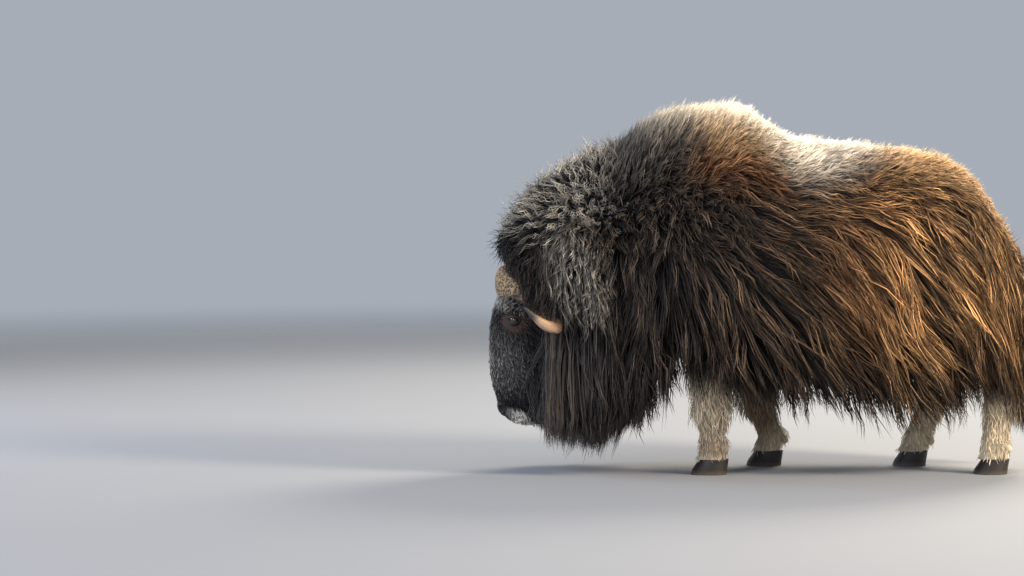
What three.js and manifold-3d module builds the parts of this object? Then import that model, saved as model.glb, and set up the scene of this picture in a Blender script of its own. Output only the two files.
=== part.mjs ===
// A muskox bull, life size, standing with its head lowered and its forehead upright.
// Millimetres, +Z up. The nose end is at -X and the animal's left side is at -Y.
import * as THREE from 'three';
import { mergeVertices } from 'three/addons/utils/BufferGeometryUtils.js';
import Module from 'manifold-3d';

const wasm = await Module();
wasm.setup();
const { Manifold, Mesh } = wasm;

// Driving dimensions
const HUMP_HEIGHT = 1286; // top of the coat over the shoulders
const COAT_FRONT = -907; // front of the mane, over the horns
const COAT_REAR = 980; // back of the rump's long hair
const COAT_HALF_WIDTH = 400; // widest place of the coat, from the middle plane
const CORE_FRONT = -868; // ends of the body under the coat
const CORE_REAR = 918;
const NECK_SEAM = -400; // plane that parts the neck from the torso
const SEAM_OVERLAP = 40; // how far the flesh runs past that plane before it is cut there
const GAP = 0.35; // clearance that touching pieces keep
const FREE_FALL = 0.55; // share of the coat's fall that lies on the body, before it hangs free
const HEM_TUCK = 0.1; // how far the hanging coat draws in, as a share of its half width
const SECTION_POWER = 0.82; // below 1 makes the body's sections fuller than an ellipse
const HEAD_POWER = 0.72; // the same for the head
const HORN_POWER = 0.85; // and for the horns
const TRUNK_SIDES = 16;
const HEAD_SIDES = 20;
const SEED = 71;

const COLOURS = {
  coat: 0x4a3120,
  mane: 0x2b2420,
  face: 0x1f1b19,
  stocking: 0xb59a76,
  horn: 0xc9a877,
  hoof: 0x2a2522,
  eye: 0x120c09,
};

// A seeded source of numbers from 0 to 1.
function makeRandom(seed) {
  let state = seed;
  return () => {
    state = (state + 0x6d2b79f5) | 0;
    let mixed = Math.imul(state ^ (state >>> 15), 1 | state);
    mixed = (mixed + Math.imul(mixed ^ (mixed >>> 7), 61 | mixed)) ^ mixed;
    return ((mixed ^ (mixed >>> 14)) >>> 0) / 4294967296;
  };
}
const random = makeRandom(SEED);
const vary = (amount) => (random() * 2 - 1) * amount;
const mix = (a, b, share) => a + (b - a) * share;
const power = (value, exponent) => Math.sign(value) * Math.abs(value) ** exponent;

// A smooth curve through [place, value] pairs that never overshoots them and is level beyond its ends.
function curve(pairs) {
  const slopes = pairs.slice(1).map(([x, y], i) => (y - pairs[i][1]) / (x - pairs[i][0]));
  const tangents = pairs.map((_, i) => {
    if (i === 0) return slopes[0];
    if (i === pairs.length - 1) return slopes[i - 1];
    const product = slopes[i - 1] * slopes[i];
    return product <= 0 ? 0 : (2 * product) / (slopes[i - 1] + slopes[i]);
  });
  return (x) => {
    if (x <= pairs[0][0]) return pairs[0][1];
    const next = pairs.findIndex((pair) => pair[0] > x);
    if (next < 0) return pairs[pairs.length - 1][1];
    const [x0, y0] = pairs[next - 1];
    const [x1, y1] = pairs[next];
    const span = x1 - x0;
    const t = (x - x0) / span;
    const s = 1 - t;
    return (
      y0 * (1 + 2 * t) * s * s +
      y1 * (3 - 2 * t) * t * t +
      span * t * s * (tangents[next - 1] * s - tangents[next] * t)
    );
  };
}

// The outline of the coat's tips along the body: its back line, widest height and half width.
const coat = {
  top: curve([
    [COAT_FRONT, 794], [-876, 896], [-786, 1006], [-617, 1097], [-514, 1140], [-400, 1226],
    [-276, 1276], [-100, HUMP_HEIGHT], [28, 1219], [110, 1170], [356, 1146], [611, 1109],
    [721, 1050], [842, 878], [945, 670], [COAT_REAR, 420],
  ]),
  wide: curve([
    [COAT_FRONT, 794], [-780, 800], [-560, 740], [-300, 720], [300, 700], [700, 680],
    [900, 560], [COAT_REAR, 400],
  ]),
  half: curve([
    [COAT_FRONT, 40], [-880, 150], [-800, 232], [-700, 285], [-550, 335], [-400, 375],
    [-150, COAT_HALF_WIDTH], [250, COAT_HALF_WIDTH], [600, 375], [780, 305], [900, 215],
    [960, 110], [COAT_REAR, 30],
  ]),
};
const bellyHem = curve([
  [-760, 120], [-717, 80], [-560, 72], [-490, 135], [-330, 160], [-240, 235], [-100, 240],
  [60, 205], [200, 190], [350, 165], [540, 145], [700, 105], [860, 88], [COAT_REAR, 110],
]);
const maneHem = curve([[COAT_FRONT, 745], [-860, 716], [-700, 700], [-600, 640], [-500, 560]]);

// The body under the coat, which the locks grow from.
const core = {
  top: curve([
    [CORE_FRONT, 795], [-840, 862], [-786, 930], [-617, 1040], [-514, 1090], [-400, 1176],
    [-276, 1228], [-100, 1238], [28, 1176], [110, 1138], [356, 1116], [611, 1074],
    [721, 1004], [842, 822], [900, 650], [CORE_REAR, 545],
  ]),
  wide: curve([
    [CORE_FRONT, 795], [-700, 770], [-500, 740], [-300, 720], [400, 695], [700, 690],
    [CORE_REAR, 545],
  ]),
  bottom: curve([
    [CORE_FRONT, 795], [-820, 712], [-700, 600], [-600, 440], [-400, 400], [400, 400],
    [700, 415], [850, 460], [CORE_REAR, 545],
  ]),
  half: curve([
    [CORE_FRONT, 0], [-845, 95], [-780, 172], [-650, 222], [-500, 268], [-350, 308],
    [-150, 330], [250, 335], [600, 312], [780, 245], [880, 130], [CORE_REAR, 0],
  ]),
};
const THROAT = { centre: [-590, 0, 440], halves: [168, 150, 172] };

// Locks of hair: the places along one where it bends, and its width and its depth in the coat there.
const LOCK_SHARES = [0, 0.22, 0.68, 1];
const LOCK_WIDTHS = [0.85, 1, 0.8];
const LOCK_DEPTHS = [-0.5, 0.5, 0.94, 1];
const LOCK_THINNING = 0.35; // how much of its thickness is gone at its tip
const LOCK_VARIETY = 0.12; // how much the widths of like locks differ

const BACK_CREST = { count: 9, end: 720, length: 175 };
const NAPE_CREST = { roots: [-600, -540, -480], length: 95 };
const CREST_FORM = { width: 190, thick: 30, reach: 0.65 };
const BONNET_FORM = { width: 124, thick: 34, reach: 0.75, hem: maneHem };
const BONNET_ROWS = [
  { root: -705, tip: -893, levels: [0.1, 0.4, 0.72] },
  { root: -625, tip: -825, levels: [0.07, 0.28, 0.48, 0.7] },
  { root: -535, tip: -725, levels: [0.08, 0.27, 0.46] },
];
const NECK_FORM = { from: -650, to: NECK_SEAM - 12, count: 3, width: 112, thick: 18 };
const NECK_TIERS = [
  { v: 0.1, fall: 0.33 },
  { v: 0.26, fall: 0.35 },
  { v: 0.42, fall: 0.36 },
  { v: 0.56, fall: 0.42 },
];
const NECK_DRIFT = 14;
const FLANK_START = NECK_SEAM + 15;
const FLANK_TIERS = [
  { from: FLANK_START, to: 860, v: 0.15, fall: 0.32, width: 122, swept: 1 },
  { from: FLANK_START, to: 870, v: 0.35, fall: 0.34, width: 120, swept: 1 },
  { from: FLANK_START - 30, to: 885, v: 0.52, fall: 0.4, width: 126, swept: 0.8 },
  { from: FLANK_START - 80, to: 880, v: 0.66, fall: 0.34, width: 120, swept: 0.5 },
];
const FLANK_COUNT = 9;
const RUMP_FORM = { width: 104, thick: 17 };
const RUMP_ROWS = [{ x: 835, reach: 78 }, { x: 893, reach: 62 }];
const RUMP_LEVELS = [0, 0.2, 0.42, 0.64];
const BEARD_PLACES = [-718, -645, -572, -498];
const BEARD_COLUMNS = [0, 62, 126];
const BEARD_WIDTH = 88;
const HEAD_LOCK_WIDTH = 64;
const HEAD_LOCK_ROWS = [
  { z: 600, reach: 190, places: [-752, -705] },
  { z: 505, reach: 200, places: [-790, -740, -690] },
  { z: 400, reach: 195, places: [-795, -750] },
  { z: 310, reach: 125, places: [-785] },
];
const headLockSpread = curve([[-800, 0.35], [-700, 1]]); // cheek hair stands out more towards the neck
const FEATHER = { rows: [6, 7], turns: [0.2, 0.9, 1.6], drop: 105, step: 25, width: 46, thick: 12 };

// Head and neck part along this outline, seen from the side as [x, z].
const HEAD_ZONE = [
  [-1010, -10], [-748, -10], [-748, 330], [-655, 450], [-655, 660], [-690, 700], [-1010, 700],
];
const HEAD_ZONE_SHIFT = [-0.45, 0, -0.25]; // opens the gap along every side of the outline
const BEYOND = 2000; // reaches past the whole animal
const ZONE_HALF_WIDTH = 600;

const head = {
  face: curve([
    [157, -838], [172, -866], [190, -890], [220, -913], [262, -925], [300, -937], [370, -946],
    [470, -947], [545, -936], [605, -914], [700, -872],
  ]),
  back: curve([[157, -790], [180, -752], [240, -738], [330, -735], [430, -640], [700, -640]]),
  half: curve([
    [157, 24], [172, 46], [195, 60], [235, 65], [290, 66], [350, 72], [430, 88], [495, 104],
    [560, 116], [640, 128], [700, 132],
  ]),
};
const HEAD_BASE = 157;
const HEAD_TOP = 703;
const MUZZLE_TOP = 290; // sections lie closer together below this height
const HEAD_MIDDLE = 0.52; // where a section is widest, from the face to the nape

const EYE = { x: -858, y: 111, z: 531, radius: 18.5 };
const LID = {
  radius: 6.5, opening: 12, halfLength: 27, outset: 15.5, tuck: 7.5, facing: [-0.3, 0.95, 0.05],
};
const BROW = { centre: [-852, 84, 531], halves: [58, 33, 58], yaw: 0.25 };
const NOSTRIL = { centre: [-905, 43, 216], halves: [16, 7, 15], yaw: 0.9 };
const NOSE = { centre: [-894, 0, 218], halves: [24, 50, 34] };
const NOSTRIL_RIM = { centre: [-892, 34, 218], halves: [22, 17, 26], yaw: 0.5 };
const UPPER_LIP = { centre: [-846, 0, 203], halves: [40, 61, 13] };
const LOWER_LIP = { centre: [-829, 0, 182], halves: [40, 56, 13] };
const LIP_PITCH = -0.375; // turn of the lips about Y, along the mouth
const NOSE_PITCH = -0.45;
const MOUTH = { front: [-900, 166], corner: [-796, 207], height: 4, depth: 12 };

const HORN_PATH = [
  [-893, 5, 655], [-884, 66, 658], [-848, 130, 644], [-788, 174, 597], [-737, 207, 536],
  [-722, 240, 512], [-756, 280, 527], [-792, 300, 554], [-828, 312, 589],
];
const HORN_BROAD = curve([[0, 57], [0.16, 58], [0.36, 43], [0.6, 23], [0.75, 16.5], [0.9, 10], [1, 3]]);
const HORN_THICK = curve([[0, 35], [0.16, 38], [0.36, 30], [0.6, 19], [0.75, 16], [0.9, 10], [1, 3]]);
const HORN_STEPS = 14;
const HORN_SIDES = 10;

const EAR = {
  base: [-708, 112, 672], direction: [0.1, 0.95, -0.26],
  length: 138, width: 70, thick: 30, sunk: 18,
};
// The cup of an ear, as shares of the leaf's half length, width and thickness.
const EAR_CUP = { length: 0.68, width: 0.33, thick: 0.62, along: 1.08, outset: 0.42 };

// Each leg as rows from the foot up: [z, x, half length, half width].
const FORE = [
  [52, 0, 50, 46], [78, 4, 44, 40], [104, 6, 44, 38], [150, 2, 37, 33], [200, 0, 45, 40],
  [232, -2, 51, 46], [275, 2, 56, 50], [350, 14, 84, 66], [470, 26, 102, 74],
];
const FLEXED_FORE = [
  [52, 0, 46, 44], [78, 10, 44, 40], [108, 20, 46, 39], [150, -2, 39, 33], [200, -26, 46, 40],
  [236, -34, 52, 46], [280, -26, 58, 50], [350, -10, 84, 66], [470, 4, 102, 74],
];
const HIND = [
  [52, 0, 50, 44], [78, 6, 44, 39], [104, 10, 45, 37], [155, 10, 38, 33], [220, 18, 44, 36],
  [285, 34, 60, 44], [330, 26, 66, 54], [390, 2, 100, 70], [480, -24, 130, 84],
];
const BACK_SET_HIND = [
  [52, 0, 48, 44], [78, 14, 44, 39], [104, 24, 45, 37], [155, 42, 38, 33], [220, 66, 44, 36],
  [285, 88, 60, 44], [330, 84, 66, 54], [390, 66, 100, 70], [480, 44, 130, 84],
];
const KNEE = 225; // heights where the upper and lower leg meet
const HOCK = 290;
const LEGS = {
  left_fore: { side: -1, x: -178, y: 165, rows: FORE, bend: KNEE, hoof: 124 },
  right_fore: { side: 1, x: 34, y: 165, rows: FLEXED_FORE, bend: KNEE, hoof: 122 },
  left_hind: { side: -1, x: 800, y: 150, rows: HIND, bend: HOCK, hoof: 116 },
  right_hind: { side: 1, x: 548, y: 150, rows: BACK_SET_HIND, bend: HOCK, hoof: 116 },
};
const LEG_SIDES = 12;
const DEW_CLAW = { halves: [14, 12, 17], apart: 19, sunk: 4, drop: 14, pitch: -0.5 };
const HOOF = { height: 51.6, width: 50, cleft: 7, slope: 16, narrowing: 0.16, back: 8, roundness: 0.8 };
const HOOF_SIDES = 11;
const HOOF_RINGS = [[0, 0], [0.3, 0.25], [1, 1]]; // height and how far the wall leans in, as shares
const HOOF_FOLLOW = 0.4; // how far a hoof's top follows a leaning pastern

// The tail as rows from its root down: [x, z, half length, half width].
const TAIL = [
  [905, 560, 30, 24], [926, 520, 28, 22], [936, 470, 24, 19], [940, 420, 17, 14], [940, 385, 8, 7],
];
const TAIL_SIDES = 10;

// A solid from a geometry, whatever way round its faces were given.
function solidFrom(geometry) {
  const bare = new THREE.BufferGeometry().setAttribute('position', geometry.getAttribute('position'));
  bare.setIndex(geometry.index);
  const merged = mergeVertices(bare, 1e-3);
  const vertProperties = new Float32Array(merged.getAttribute('position').array);
  const triVerts = new Uint32Array(merged.index.array);
  const made = new Manifold(new Mesh({ numProp: 3, vertProperties, triVerts }));
  if (made.volume() > 0) return made;
  for (let i = 0; i < triVerts.length; i += 3) {
    [triVerts[i + 1], triVerts[i + 2]] = [triVerts[i + 2], triVerts[i + 1]];
  }
  return new Manifold(new Mesh({ numProp: 3, vertProperties, triVerts }));
}

// A closed solid through rings of points. Each end is closed by a fan round its own middle or tip.
function skinRings(rings, tip = null) {
  const sides = rings[0].length;
  const points = rings.flat();
  const faces = [];
  for (let r = 0; r < rings.length - 1; r += 1) {
    for (let s = 0; s < sides; s += 1) {
      const a = r * sides + s;
      const b = r * sides + ((s + 1) % sides);
      faces.push(a, b, b + sides, a, b + sides, a + sides);
    }
  }
  const closeEnd = (first, apex, turned) => {
    if (sides === 3 && !apex) {
      faces.push(first, first + 2, first + 1);
      return;
    }
    const middle = apex ?? points.slice(first, first + sides)
      .reduce((sum, p) => sum.add(p), new THREE.Vector3()).divideScalar(sides);
    const index = points.push(middle) - 1;
    for (let s = 0; s < sides; s += 1) {
      const a = first + s;
      const b = first + ((s + 1) % sides);
      faces.push(...(turned ? [a, index, b] : [a, b, index]));
    }
  };
  closeEnd(0, null, true);
  closeEnd((rings.length - 1) * sides, tip, false);
  const geometry = new THREE.BufferGeometry().setFromPoints(points);
  return solidFrom(geometry.setIndex(faces));
}

// Places spread evenly from one end to the other.
function evenPlaces(from, to, steps) {
  return Array.from({ length: steps + 1 }, (_, i) => mix(from, to, i / steps));
}

// The same, but closer together at both ends.
function easedPlaces(from, to, steps) {
  return evenPlaces(0, Math.PI, steps).map((turn) => mix(from, to, (1 - Math.cos(turn)) / 2));
}

// An ellipsoid with the given half sizes, turned about Y by pitch and about Z by yaw.
function ellipsoid(centre, halves, yaw = 0, pitch = 0, detail = [12, 8]) {
  const geometry = new THREE.SphereGeometry(1, ...detail);
  const place = new THREE.Matrix4().makeRotationZ(yaw).multiply(new THREE.Matrix4().makeRotationY(pitch));
  place.setPosition(...centre).multiply(new THREE.Matrix4().makeScale(...halves));
  return solidFrom(geometry.applyMatrix4(place));
}

// The same for a form that is given for the right side.
function sideEllipsoid({ centre: [x, y, z], halves, yaw }, side, pitch, detail) {
  return ellipsoid([x, side * y, z], halves, side * yaw, pitch, detail);
}

// A prism of the given side outline, [x, z] points, across the whole body.
function sidePrism(outline, halfWidth = ZONE_HALF_WIDTH) {
  const shape = new THREE.Shape(outline.map(([x, z]) => new THREE.Vector2(x, z)));
  const geometry = new THREE.ExtrudeGeometry(shape, { depth: 2 * halfWidth, bevelEnabled: false });
  geometry.rotateX(Math.PI / 2).translate(0, halfWidth, 0);
  return solidFrom(geometry);
}

// Everything between two places along the body and two heights.
const block = (x0, x1, z0, z1) => sidePrism([[x0, z0], [x1, z0], [x1, z1], [x0, z1]]);

// The part of the trunk's core between two places along the body.
function trunkCore(from, to, steps) {
  const rings = easedPlaces(from, to, steps).map((x) => {
    const half = Math.max(core.half(x), 1);
    return Array.from({ length: TRUNK_SIDES }, (_, i) => {
      const angle = (2 * Math.PI * i) / TRUNK_SIDES;
      const reach = Math.cos(angle) > 0 ? core.top(x) - core.wide(x) : core.wide(x) - core.bottom(x);
      const z = core.wide(x) + Math.max(reach, 1) * power(Math.cos(angle), SECTION_POWER);
      return new THREE.Vector3(x, half * power(Math.sin(angle), SECTION_POWER), z);
    });
  });
  return skinRings(rings);
}

// A point of the coat. v runs from the back line, 0, to the hem, 1, and depth from core, 0, to tips, 1.
function coatPoint(x, v, depth, side, hem) {
  const fall = Math.max(v, 0) / FREE_FALL;
  const free = Math.max(fall - 1, 0) * (FREE_FALL / (1 - FREE_FALL));
  const angle = (Math.min(fall, 1) * Math.PI) / 2;
  const under = (Math.min(free, 1) * Math.PI) / 2;
  const around = Math.sin(angle) ** SECTION_POWER;
  const above = Math.max(Math.cos(angle), 0) ** SECTION_POWER;
  const hanging = free > 0;
  const tips = new THREE.Vector3(
    x,
    side * coat.half(x) * around * (1 - HEM_TUCK * free * free),
    hanging ? mix(coat.wide(x), hem(x), free) : mix(coat.wide(x), coat.top(x), above),
  );
  const root = new THREE.Vector3(
    x,
    side * core.half(x) * (hanging ? Math.cos(under) ** SECTION_POWER : around),
    hanging
      ? mix(core.wide(x), core.bottom(x), Math.sin(under) ** SECTION_POWER)
      : mix(core.wide(x), core.top(x), above),
  );
  return root.lerp(tips, depth);
}

// The direction that faces out of the coat at a place.
function coatNormal(x, v, side, hem) {
  const step = 4;
  const down = 0.02;
  const along = coatPoint(x + step, v, 1, side, hem).sub(coatPoint(x - step, v, 1, side, hem));
  const fall = coatPoint(x, v + down, 1, side, hem).sub(coatPoint(x, Math.max(v - down, 0), 1, side, hem));
  return along.cross(fall).multiplyScalar(side).normalize();
}

// One lock of hair: a flat, tapered body with a low ridge outside, on points with outward normals.
function lock(points, normals, width, thick) {
  const last = points.length - 1;
  const varied = width * (1 + vary(LOCK_VARIETY));
  const rings = points.slice(0, last).map((point, i) => {
    const tangent = points[i + 1].clone().sub(points[Math.max(i - 1, 0)]).normalize();
    const across = tangent.clone().cross(normals[i]).normalize();
    const out = across.clone().cross(tangent);
    const halfWidth = (varied / 2) * LOCK_WIDTHS[i];
    const height = thick * (1 - LOCK_THINNING * LOCK_SHARES[i]);
    return [
      point.clone().addScaledVector(across, halfWidth).addScaledVector(out, -height / 3),
      point.clone().addScaledVector(out, (height * 2) / 3),
      point.clone().addScaledVector(across, -halfWidth).addScaledVector(out, -height / 3),
    ];
  });
  return skinRings(rings, points[last].clone());
}

// A lock that follows the coat from one place of it to another. Each place is [x, v].
function coatLock(from, to, side, { width, thick = 15, hem = bellyHem, reach = 1 }) {
  const places = LOCK_SHARES.map((t) => [mix(from[0], to[0], t), mix(from[1], to[1], t)]);
  const depths = LOCK_DEPTHS.map((depth) => (depth < 0 ? depth : depth * reach));
  const points = places.map(([x, v], i) => coatPoint(x, v, depths[i], side, hem));
  const normals = places.map(([x, v]) => coatNormal(x, v, side, hem));
  return lock(points, normals, width, thick);
}

// A row of locks down each side, rooted along v and spread evenly along the body.
function coatRow({ from, to, count, v, fall, drift, ...form }) {
  return [-1, 1].flatMap((side) => Array.from({ length: count }, (_, i) => {
    const spacing = (to - from) / count;
    const x = from + spacing * (i + 0.5) + vary(spacing * 0.22);
    const start = v + vary(0.018);
    const end = Math.min(start + fall + vary(0.035), 1);
    return coatLock([x, start], [Math.min(x + drift(x) + vary(20), COAT_REAR - 12), end], side, form);
  }));
}

// How far a lock's tip lies behind its root, by where it grows.
const sweep = curve([
  [-400, 15], [-250, 60], [-60, 175], [150, 235], [500, 220], [700, 150], [820, 110], [880, 80],
]);

// A lock that hangs straight down from a root, with a slight outward bow.
function hangingLock(root, hem, outward, lean, width) {
  const bow = (t) => 16 * Math.sin(Math.PI * Math.min(t * 1.4, 1));
  const points = LOCK_SHARES.map((t) => new THREE.Vector3(
    root[0] + lean[0] * t, root[1] + lean[1] * t, mix(root[2], hem, t),
  ).addScaledVector(outward, bow(t)));
  return lock(points, points.map(() => outward), width, 16);
}

// A lock along a given line of points, rooted at the first.
function guidedLock(line, outward, width, thick = 13) {
  const guide = new THREE.CatmullRomCurve3(line.map((p) => new THREE.Vector3(...p)));
  const points = LOCK_SHARES.map((t) => guide.getPoint(t));
  return lock(points, points.map(() => outward), width, thick);
}

const joined = (pieces) => Manifold.union(pieces);

// The largest closed surface of a solid.
const largest = (solid) => solid.decompose().sort((a, b) => b.volume() - a.volume())[0];

// Whether a piece keeps its clearance from another solid.
const clears = (piece, other) => piece.minGap(other, 2 * GAP) > GAP;

// One leg's flesh. grown makes it thicker all round, for the pocket that its neighbour leaves.
function legFlesh({ side, x, y, rows }, grown = 0) {
  const rings = rows.map(([z, shift, length, width], row) => Array.from({ length: LEG_SIDES }, (_, i) => {
    const angle = (2 * Math.PI * i) / LEG_SIDES;
    return new THREE.Vector3(
      x + shift + (length + grown) * Math.cos(angle),
      side * y + (width + grown) * Math.sin(angle),
      z + (row === rows.length - 1 ? grown : 0),
    );
  }));
  return skinRings(rings);
}

// The feathering that hangs down the back and outside of a leg's upper part.
function legFeather({ side, x, y, rows }) {
  return FEATHER.rows.flatMap((row, tier) => FEATHER.turns.map((turn) => {
    const [z, shift, length, width] = rows[row];
    const out = new THREE.Vector3(Math.cos(turn), side * Math.sin(turn), 0);
    const drop = FEATHER.drop + FEATHER.step * tier + vary(12);
    const place = (outset, height) => [
      x + shift + out.x * (length + outset), side * y + out.y * (width + outset), height,
    ];
    const line = [
      place(-20, z + 10), place(27, z - drop * 0.3), place(31, z - drop * 0.7), place(28, z - drop),
    ];
    return guidedLock(line, out, FEATHER.width, FEATHER.thick);
  }));
}

// The two dew claws behind a leg's fetlock.
function dewClaws({ side, x, y, rows }) {
  const [, , [z, shift, length]] = rows;
  return joined([-1, 1].map((turn) => ellipsoid(
    [x + shift + length - DEW_CLAW.sunk, side * y + turn * DEW_CLAW.apart, z - DEW_CLAW.drop],
    DEW_CLAW.halves, 0, DEW_CLAW.pitch, [6, 4],
  )));
}

// A leg's upper and lower part, which meet at the knee or hock.
function legParts(place, torso) {
  const flesh = legFlesh(place);
  const lower = flesh.intersect(block(-BEYOND, BEYOND, 0, place.bend)).add(dewClaws(place));
  const thigh = flesh.intersect(block(-BEYOND, BEYOND, place.bend + GAP, BEYOND));
  const feather = legFeather(place).filter((piece) => clears(piece, torso) && clears(piece, lower));
  return { upper: largest(joined([thigh, ...feather])), lower };
}

// One half of a cloven hoof: a rounded wedge, straight along the cleft, with a flat sole.
function hoofHalf({ side, x, y, hoof, rows }, turn) {
  const lean = HOOF.slope + rows[0][1] * HOOF_FOLLOW;
  const rings = HOOF_RINGS.map(([rise, slope]) => Array.from({ length: HOOF_SIDES }, (_, i) => {
    const angle = (Math.PI * i) / (HOOF_SIDES - 1);
    const narrowing = 1 - HOOF.narrowing * slope;
    const along = -Math.cos(angle) * (hoof / 2) * narrowing + lean * slope - HOOF.back;
    const across = HOOF.cleft / 2 + HOOF.width * power(Math.sin(angle), HOOF.roundness) * narrowing;
    return new THREE.Vector3(x + along, side * y + turn * across, HOOF.height * rise);
  }));
  return skinRings(rings);
}

// One horn, from its broad boss on the forehead down behind the eye and out to its tip.
function horn(side, grown = 0) {
  const path = new THREE.CatmullRomCurve3(HORN_PATH.map(([x, y, z]) => new THREE.Vector3(x, side * y, z)));
  const up = new THREE.Vector3(0, 0, 1);
  const rings = Array.from({ length: HORN_STEPS }, (_, step) => {
    const t = step / HORN_STEPS;
    const point = path.getPoint(t);
    const tangent = path.getTangent(t);
    if (step === 0) {
      tangent.set(0, side, 0);
      point.y -= side * grown;
    }
    const thickAxis = tangent.clone().cross(up).normalize();
    const broadAxis = thickAxis.clone().cross(tangent).normalize();
    return Array.from({ length: HORN_SIDES }, (__, i) => {
      const angle = (2 * Math.PI * i) / HORN_SIDES;
      return point.clone()
        .addScaledVector(broadAxis, (HORN_BROAD(t) + grown) * power(Math.cos(angle), HORN_POWER))
        .addScaledVector(thickAxis, (HORN_THICK(t) + grown) * power(Math.sin(angle), HORN_POWER));
    });
  });
  const tip = path.getPoint(1).addScaledVector(path.getTangent(1), grown);
  return skinRings(rings, tip);
}

// One ear: a leaf with a cup hollowed into its face. The plain leaf is the pocket in the head.
function ear(side, grown = 0) {
  const direction = new THREE.Vector3(...EAR.direction).multiply(new THREE.Vector3(1, side, 1)).normalize();
  const face = new THREE.Vector3(-1, 0, 0).addScaledVector(direction, direction.x).normalize();
  const across = direction.clone().cross(face);
  const base = new THREE.Vector3(EAR.base[0], side * EAR.base[1], EAR.base[2]);
  const place = new THREE.Matrix4().makeBasis(direction, across, face).setPosition(base);
  const half = EAR.length / 2;
  const leaf = new THREE.SphereGeometry(1, 10, 7).rotateZ(Math.PI / 2)
    .scale(half + grown, EAR.width / 2 + grown, EAR.thick / 2 + grown)
    .translate(half - EAR.sunk, 0, 0);
  const solid = solidFrom(leaf.applyMatrix4(place));
  if (grown) return solid;
  const cup = new THREE.SphereGeometry(1, 8, 6).rotateZ(Math.PI / 2)
    .scale(half * EAR_CUP.length, EAR.width * EAR_CUP.width, EAR.thick * EAR_CUP.thick)
    .translate(half * EAR_CUP.along - EAR.sunk, 0, EAR.thick * EAR_CUP.outset);
  return largest(solid.subtract(solidFrom(cup.applyMatrix4(place))));
}

const eye = (side, grown = 0) => ellipsoid([EYE.x, side * EYE.y, EYE.z], Array(3).fill(EYE.radius + grown));

// The head without hair: stacked sections from the lips up to the poll.
function headFlesh(grown = 0) {
  const levels = [...easedPlaces(HEAD_BASE, MUZZLE_TOP, 6), ...evenPlaces(MUZZLE_TOP, HEAD_TOP, 6).slice(1)];
  const rings = levels.map((z) => {
    const front = head.face(z) - grown;
    const back = head.back(z) + grown;
    const middle = mix(front, back, HEAD_MIDDLE);
    return Array.from({ length: HEAD_SIDES }, (_, i) => {
      const angle = (2 * Math.PI * i) / HEAD_SIDES;
      const reach = Math.cos(angle) < 0 ? middle - front : back - middle;
      return new THREE.Vector3(
        middle + reach * power(Math.cos(angle), HEAD_POWER),
        (head.half(z) + grown) * power(Math.sin(angle), HEAD_POWER),
        z,
      );
    });
  });
  return skinRings(rings);
}

// The upper and lower lid of one eye, as rolls over the ball that meet at its corners.
function eyelids(side) {
  const outward = new THREE.Vector3(...LID.facing).multiply(new THREE.Vector3(1, side, 1)).normalize();
  const roll = new THREE.Shape().absellipse(0, 0, LID.radius, LID.radius, 0, 2 * Math.PI);
  return [-1, 1].map((turn) => {
    const line = [-1, -0.5, 0, 0.5, 1].map((share) => {
      const angle = (share * Math.PI) / 2;
      const lift = turn * LID.opening * Math.cos(angle);
      return new THREE.Vector3(EYE.x - lift, side * EYE.y, EYE.z - LID.halfLength * Math.sin(angle))
        .addScaledVector(outward, LID.outset - LID.tuck * Math.abs(share));
    });
    const extrudePath = new THREE.CatmullRomCurve3(line);
    const options = { extrudePath, steps: 6, curveSegments: 3, bevelEnabled: false };
    return solidFrom(new THREE.ExtrudeGeometry(roll, options));
  });
}

// The slit between the lips, cut into the muzzle from both sides and the front.
function mouthSlit() {
  const [frontX, frontZ] = MOUTH.front;
  const [cornerX, cornerZ] = MOUTH.corner;
  const slab = sidePrism([
    [frontX, frontZ], [cornerX, cornerZ], [cornerX, cornerZ + MOUTH.height], [frontX, frontZ + MOUTH.height],
  ]);
  return slab.subtract(headFlesh(-MOUTH.depth));
}

// Hair of the temples, cheeks and jaw, which hangs from the head itself.
function headLocks() {
  return [-1, 1].flatMap((side) => HEAD_LOCK_ROWS.flatMap(({ z, reach, places }) => places.map((place) => {
    const x = place + vary(8);
    const tip = z - reach + vary(15);
    const spread = headLockSpread(x);
    const at = (shift, outset, height) => [x + shift, side * (head.half(z) + outset), height];
    return guidedLock([
      at(0, -26, z),
      at(3, 12 + 14 * spread, z - reach * 0.25),
      at(6, 14 + 28 * spread, z - reach * 0.65),
      at(8, 8 + 24 * spread, tip),
    ], new THREE.Vector3(0, side, 0), HEAD_LOCK_WIDTH);
  })));
}

// The muzzle's own forms: lips, nose pad and the rims of the nostrils.
function muzzle() {
  return [
    ellipsoid(UPPER_LIP.centre, UPPER_LIP.halves, 0, LIP_PITCH, [12, 6]),
    ellipsoid(LOWER_LIP.centre, LOWER_LIP.halves, 0, LIP_PITCH, [12, 6]),
    ellipsoid(NOSE.centre, NOSE.halves, 0, NOSE_PITCH, [12, 6]),
    ...[-1, 1].map((side) => sideEllipsoid(NOSTRIL_RIM, side, NOSE_PITCH, [10, 6])),
  ];
}

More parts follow.
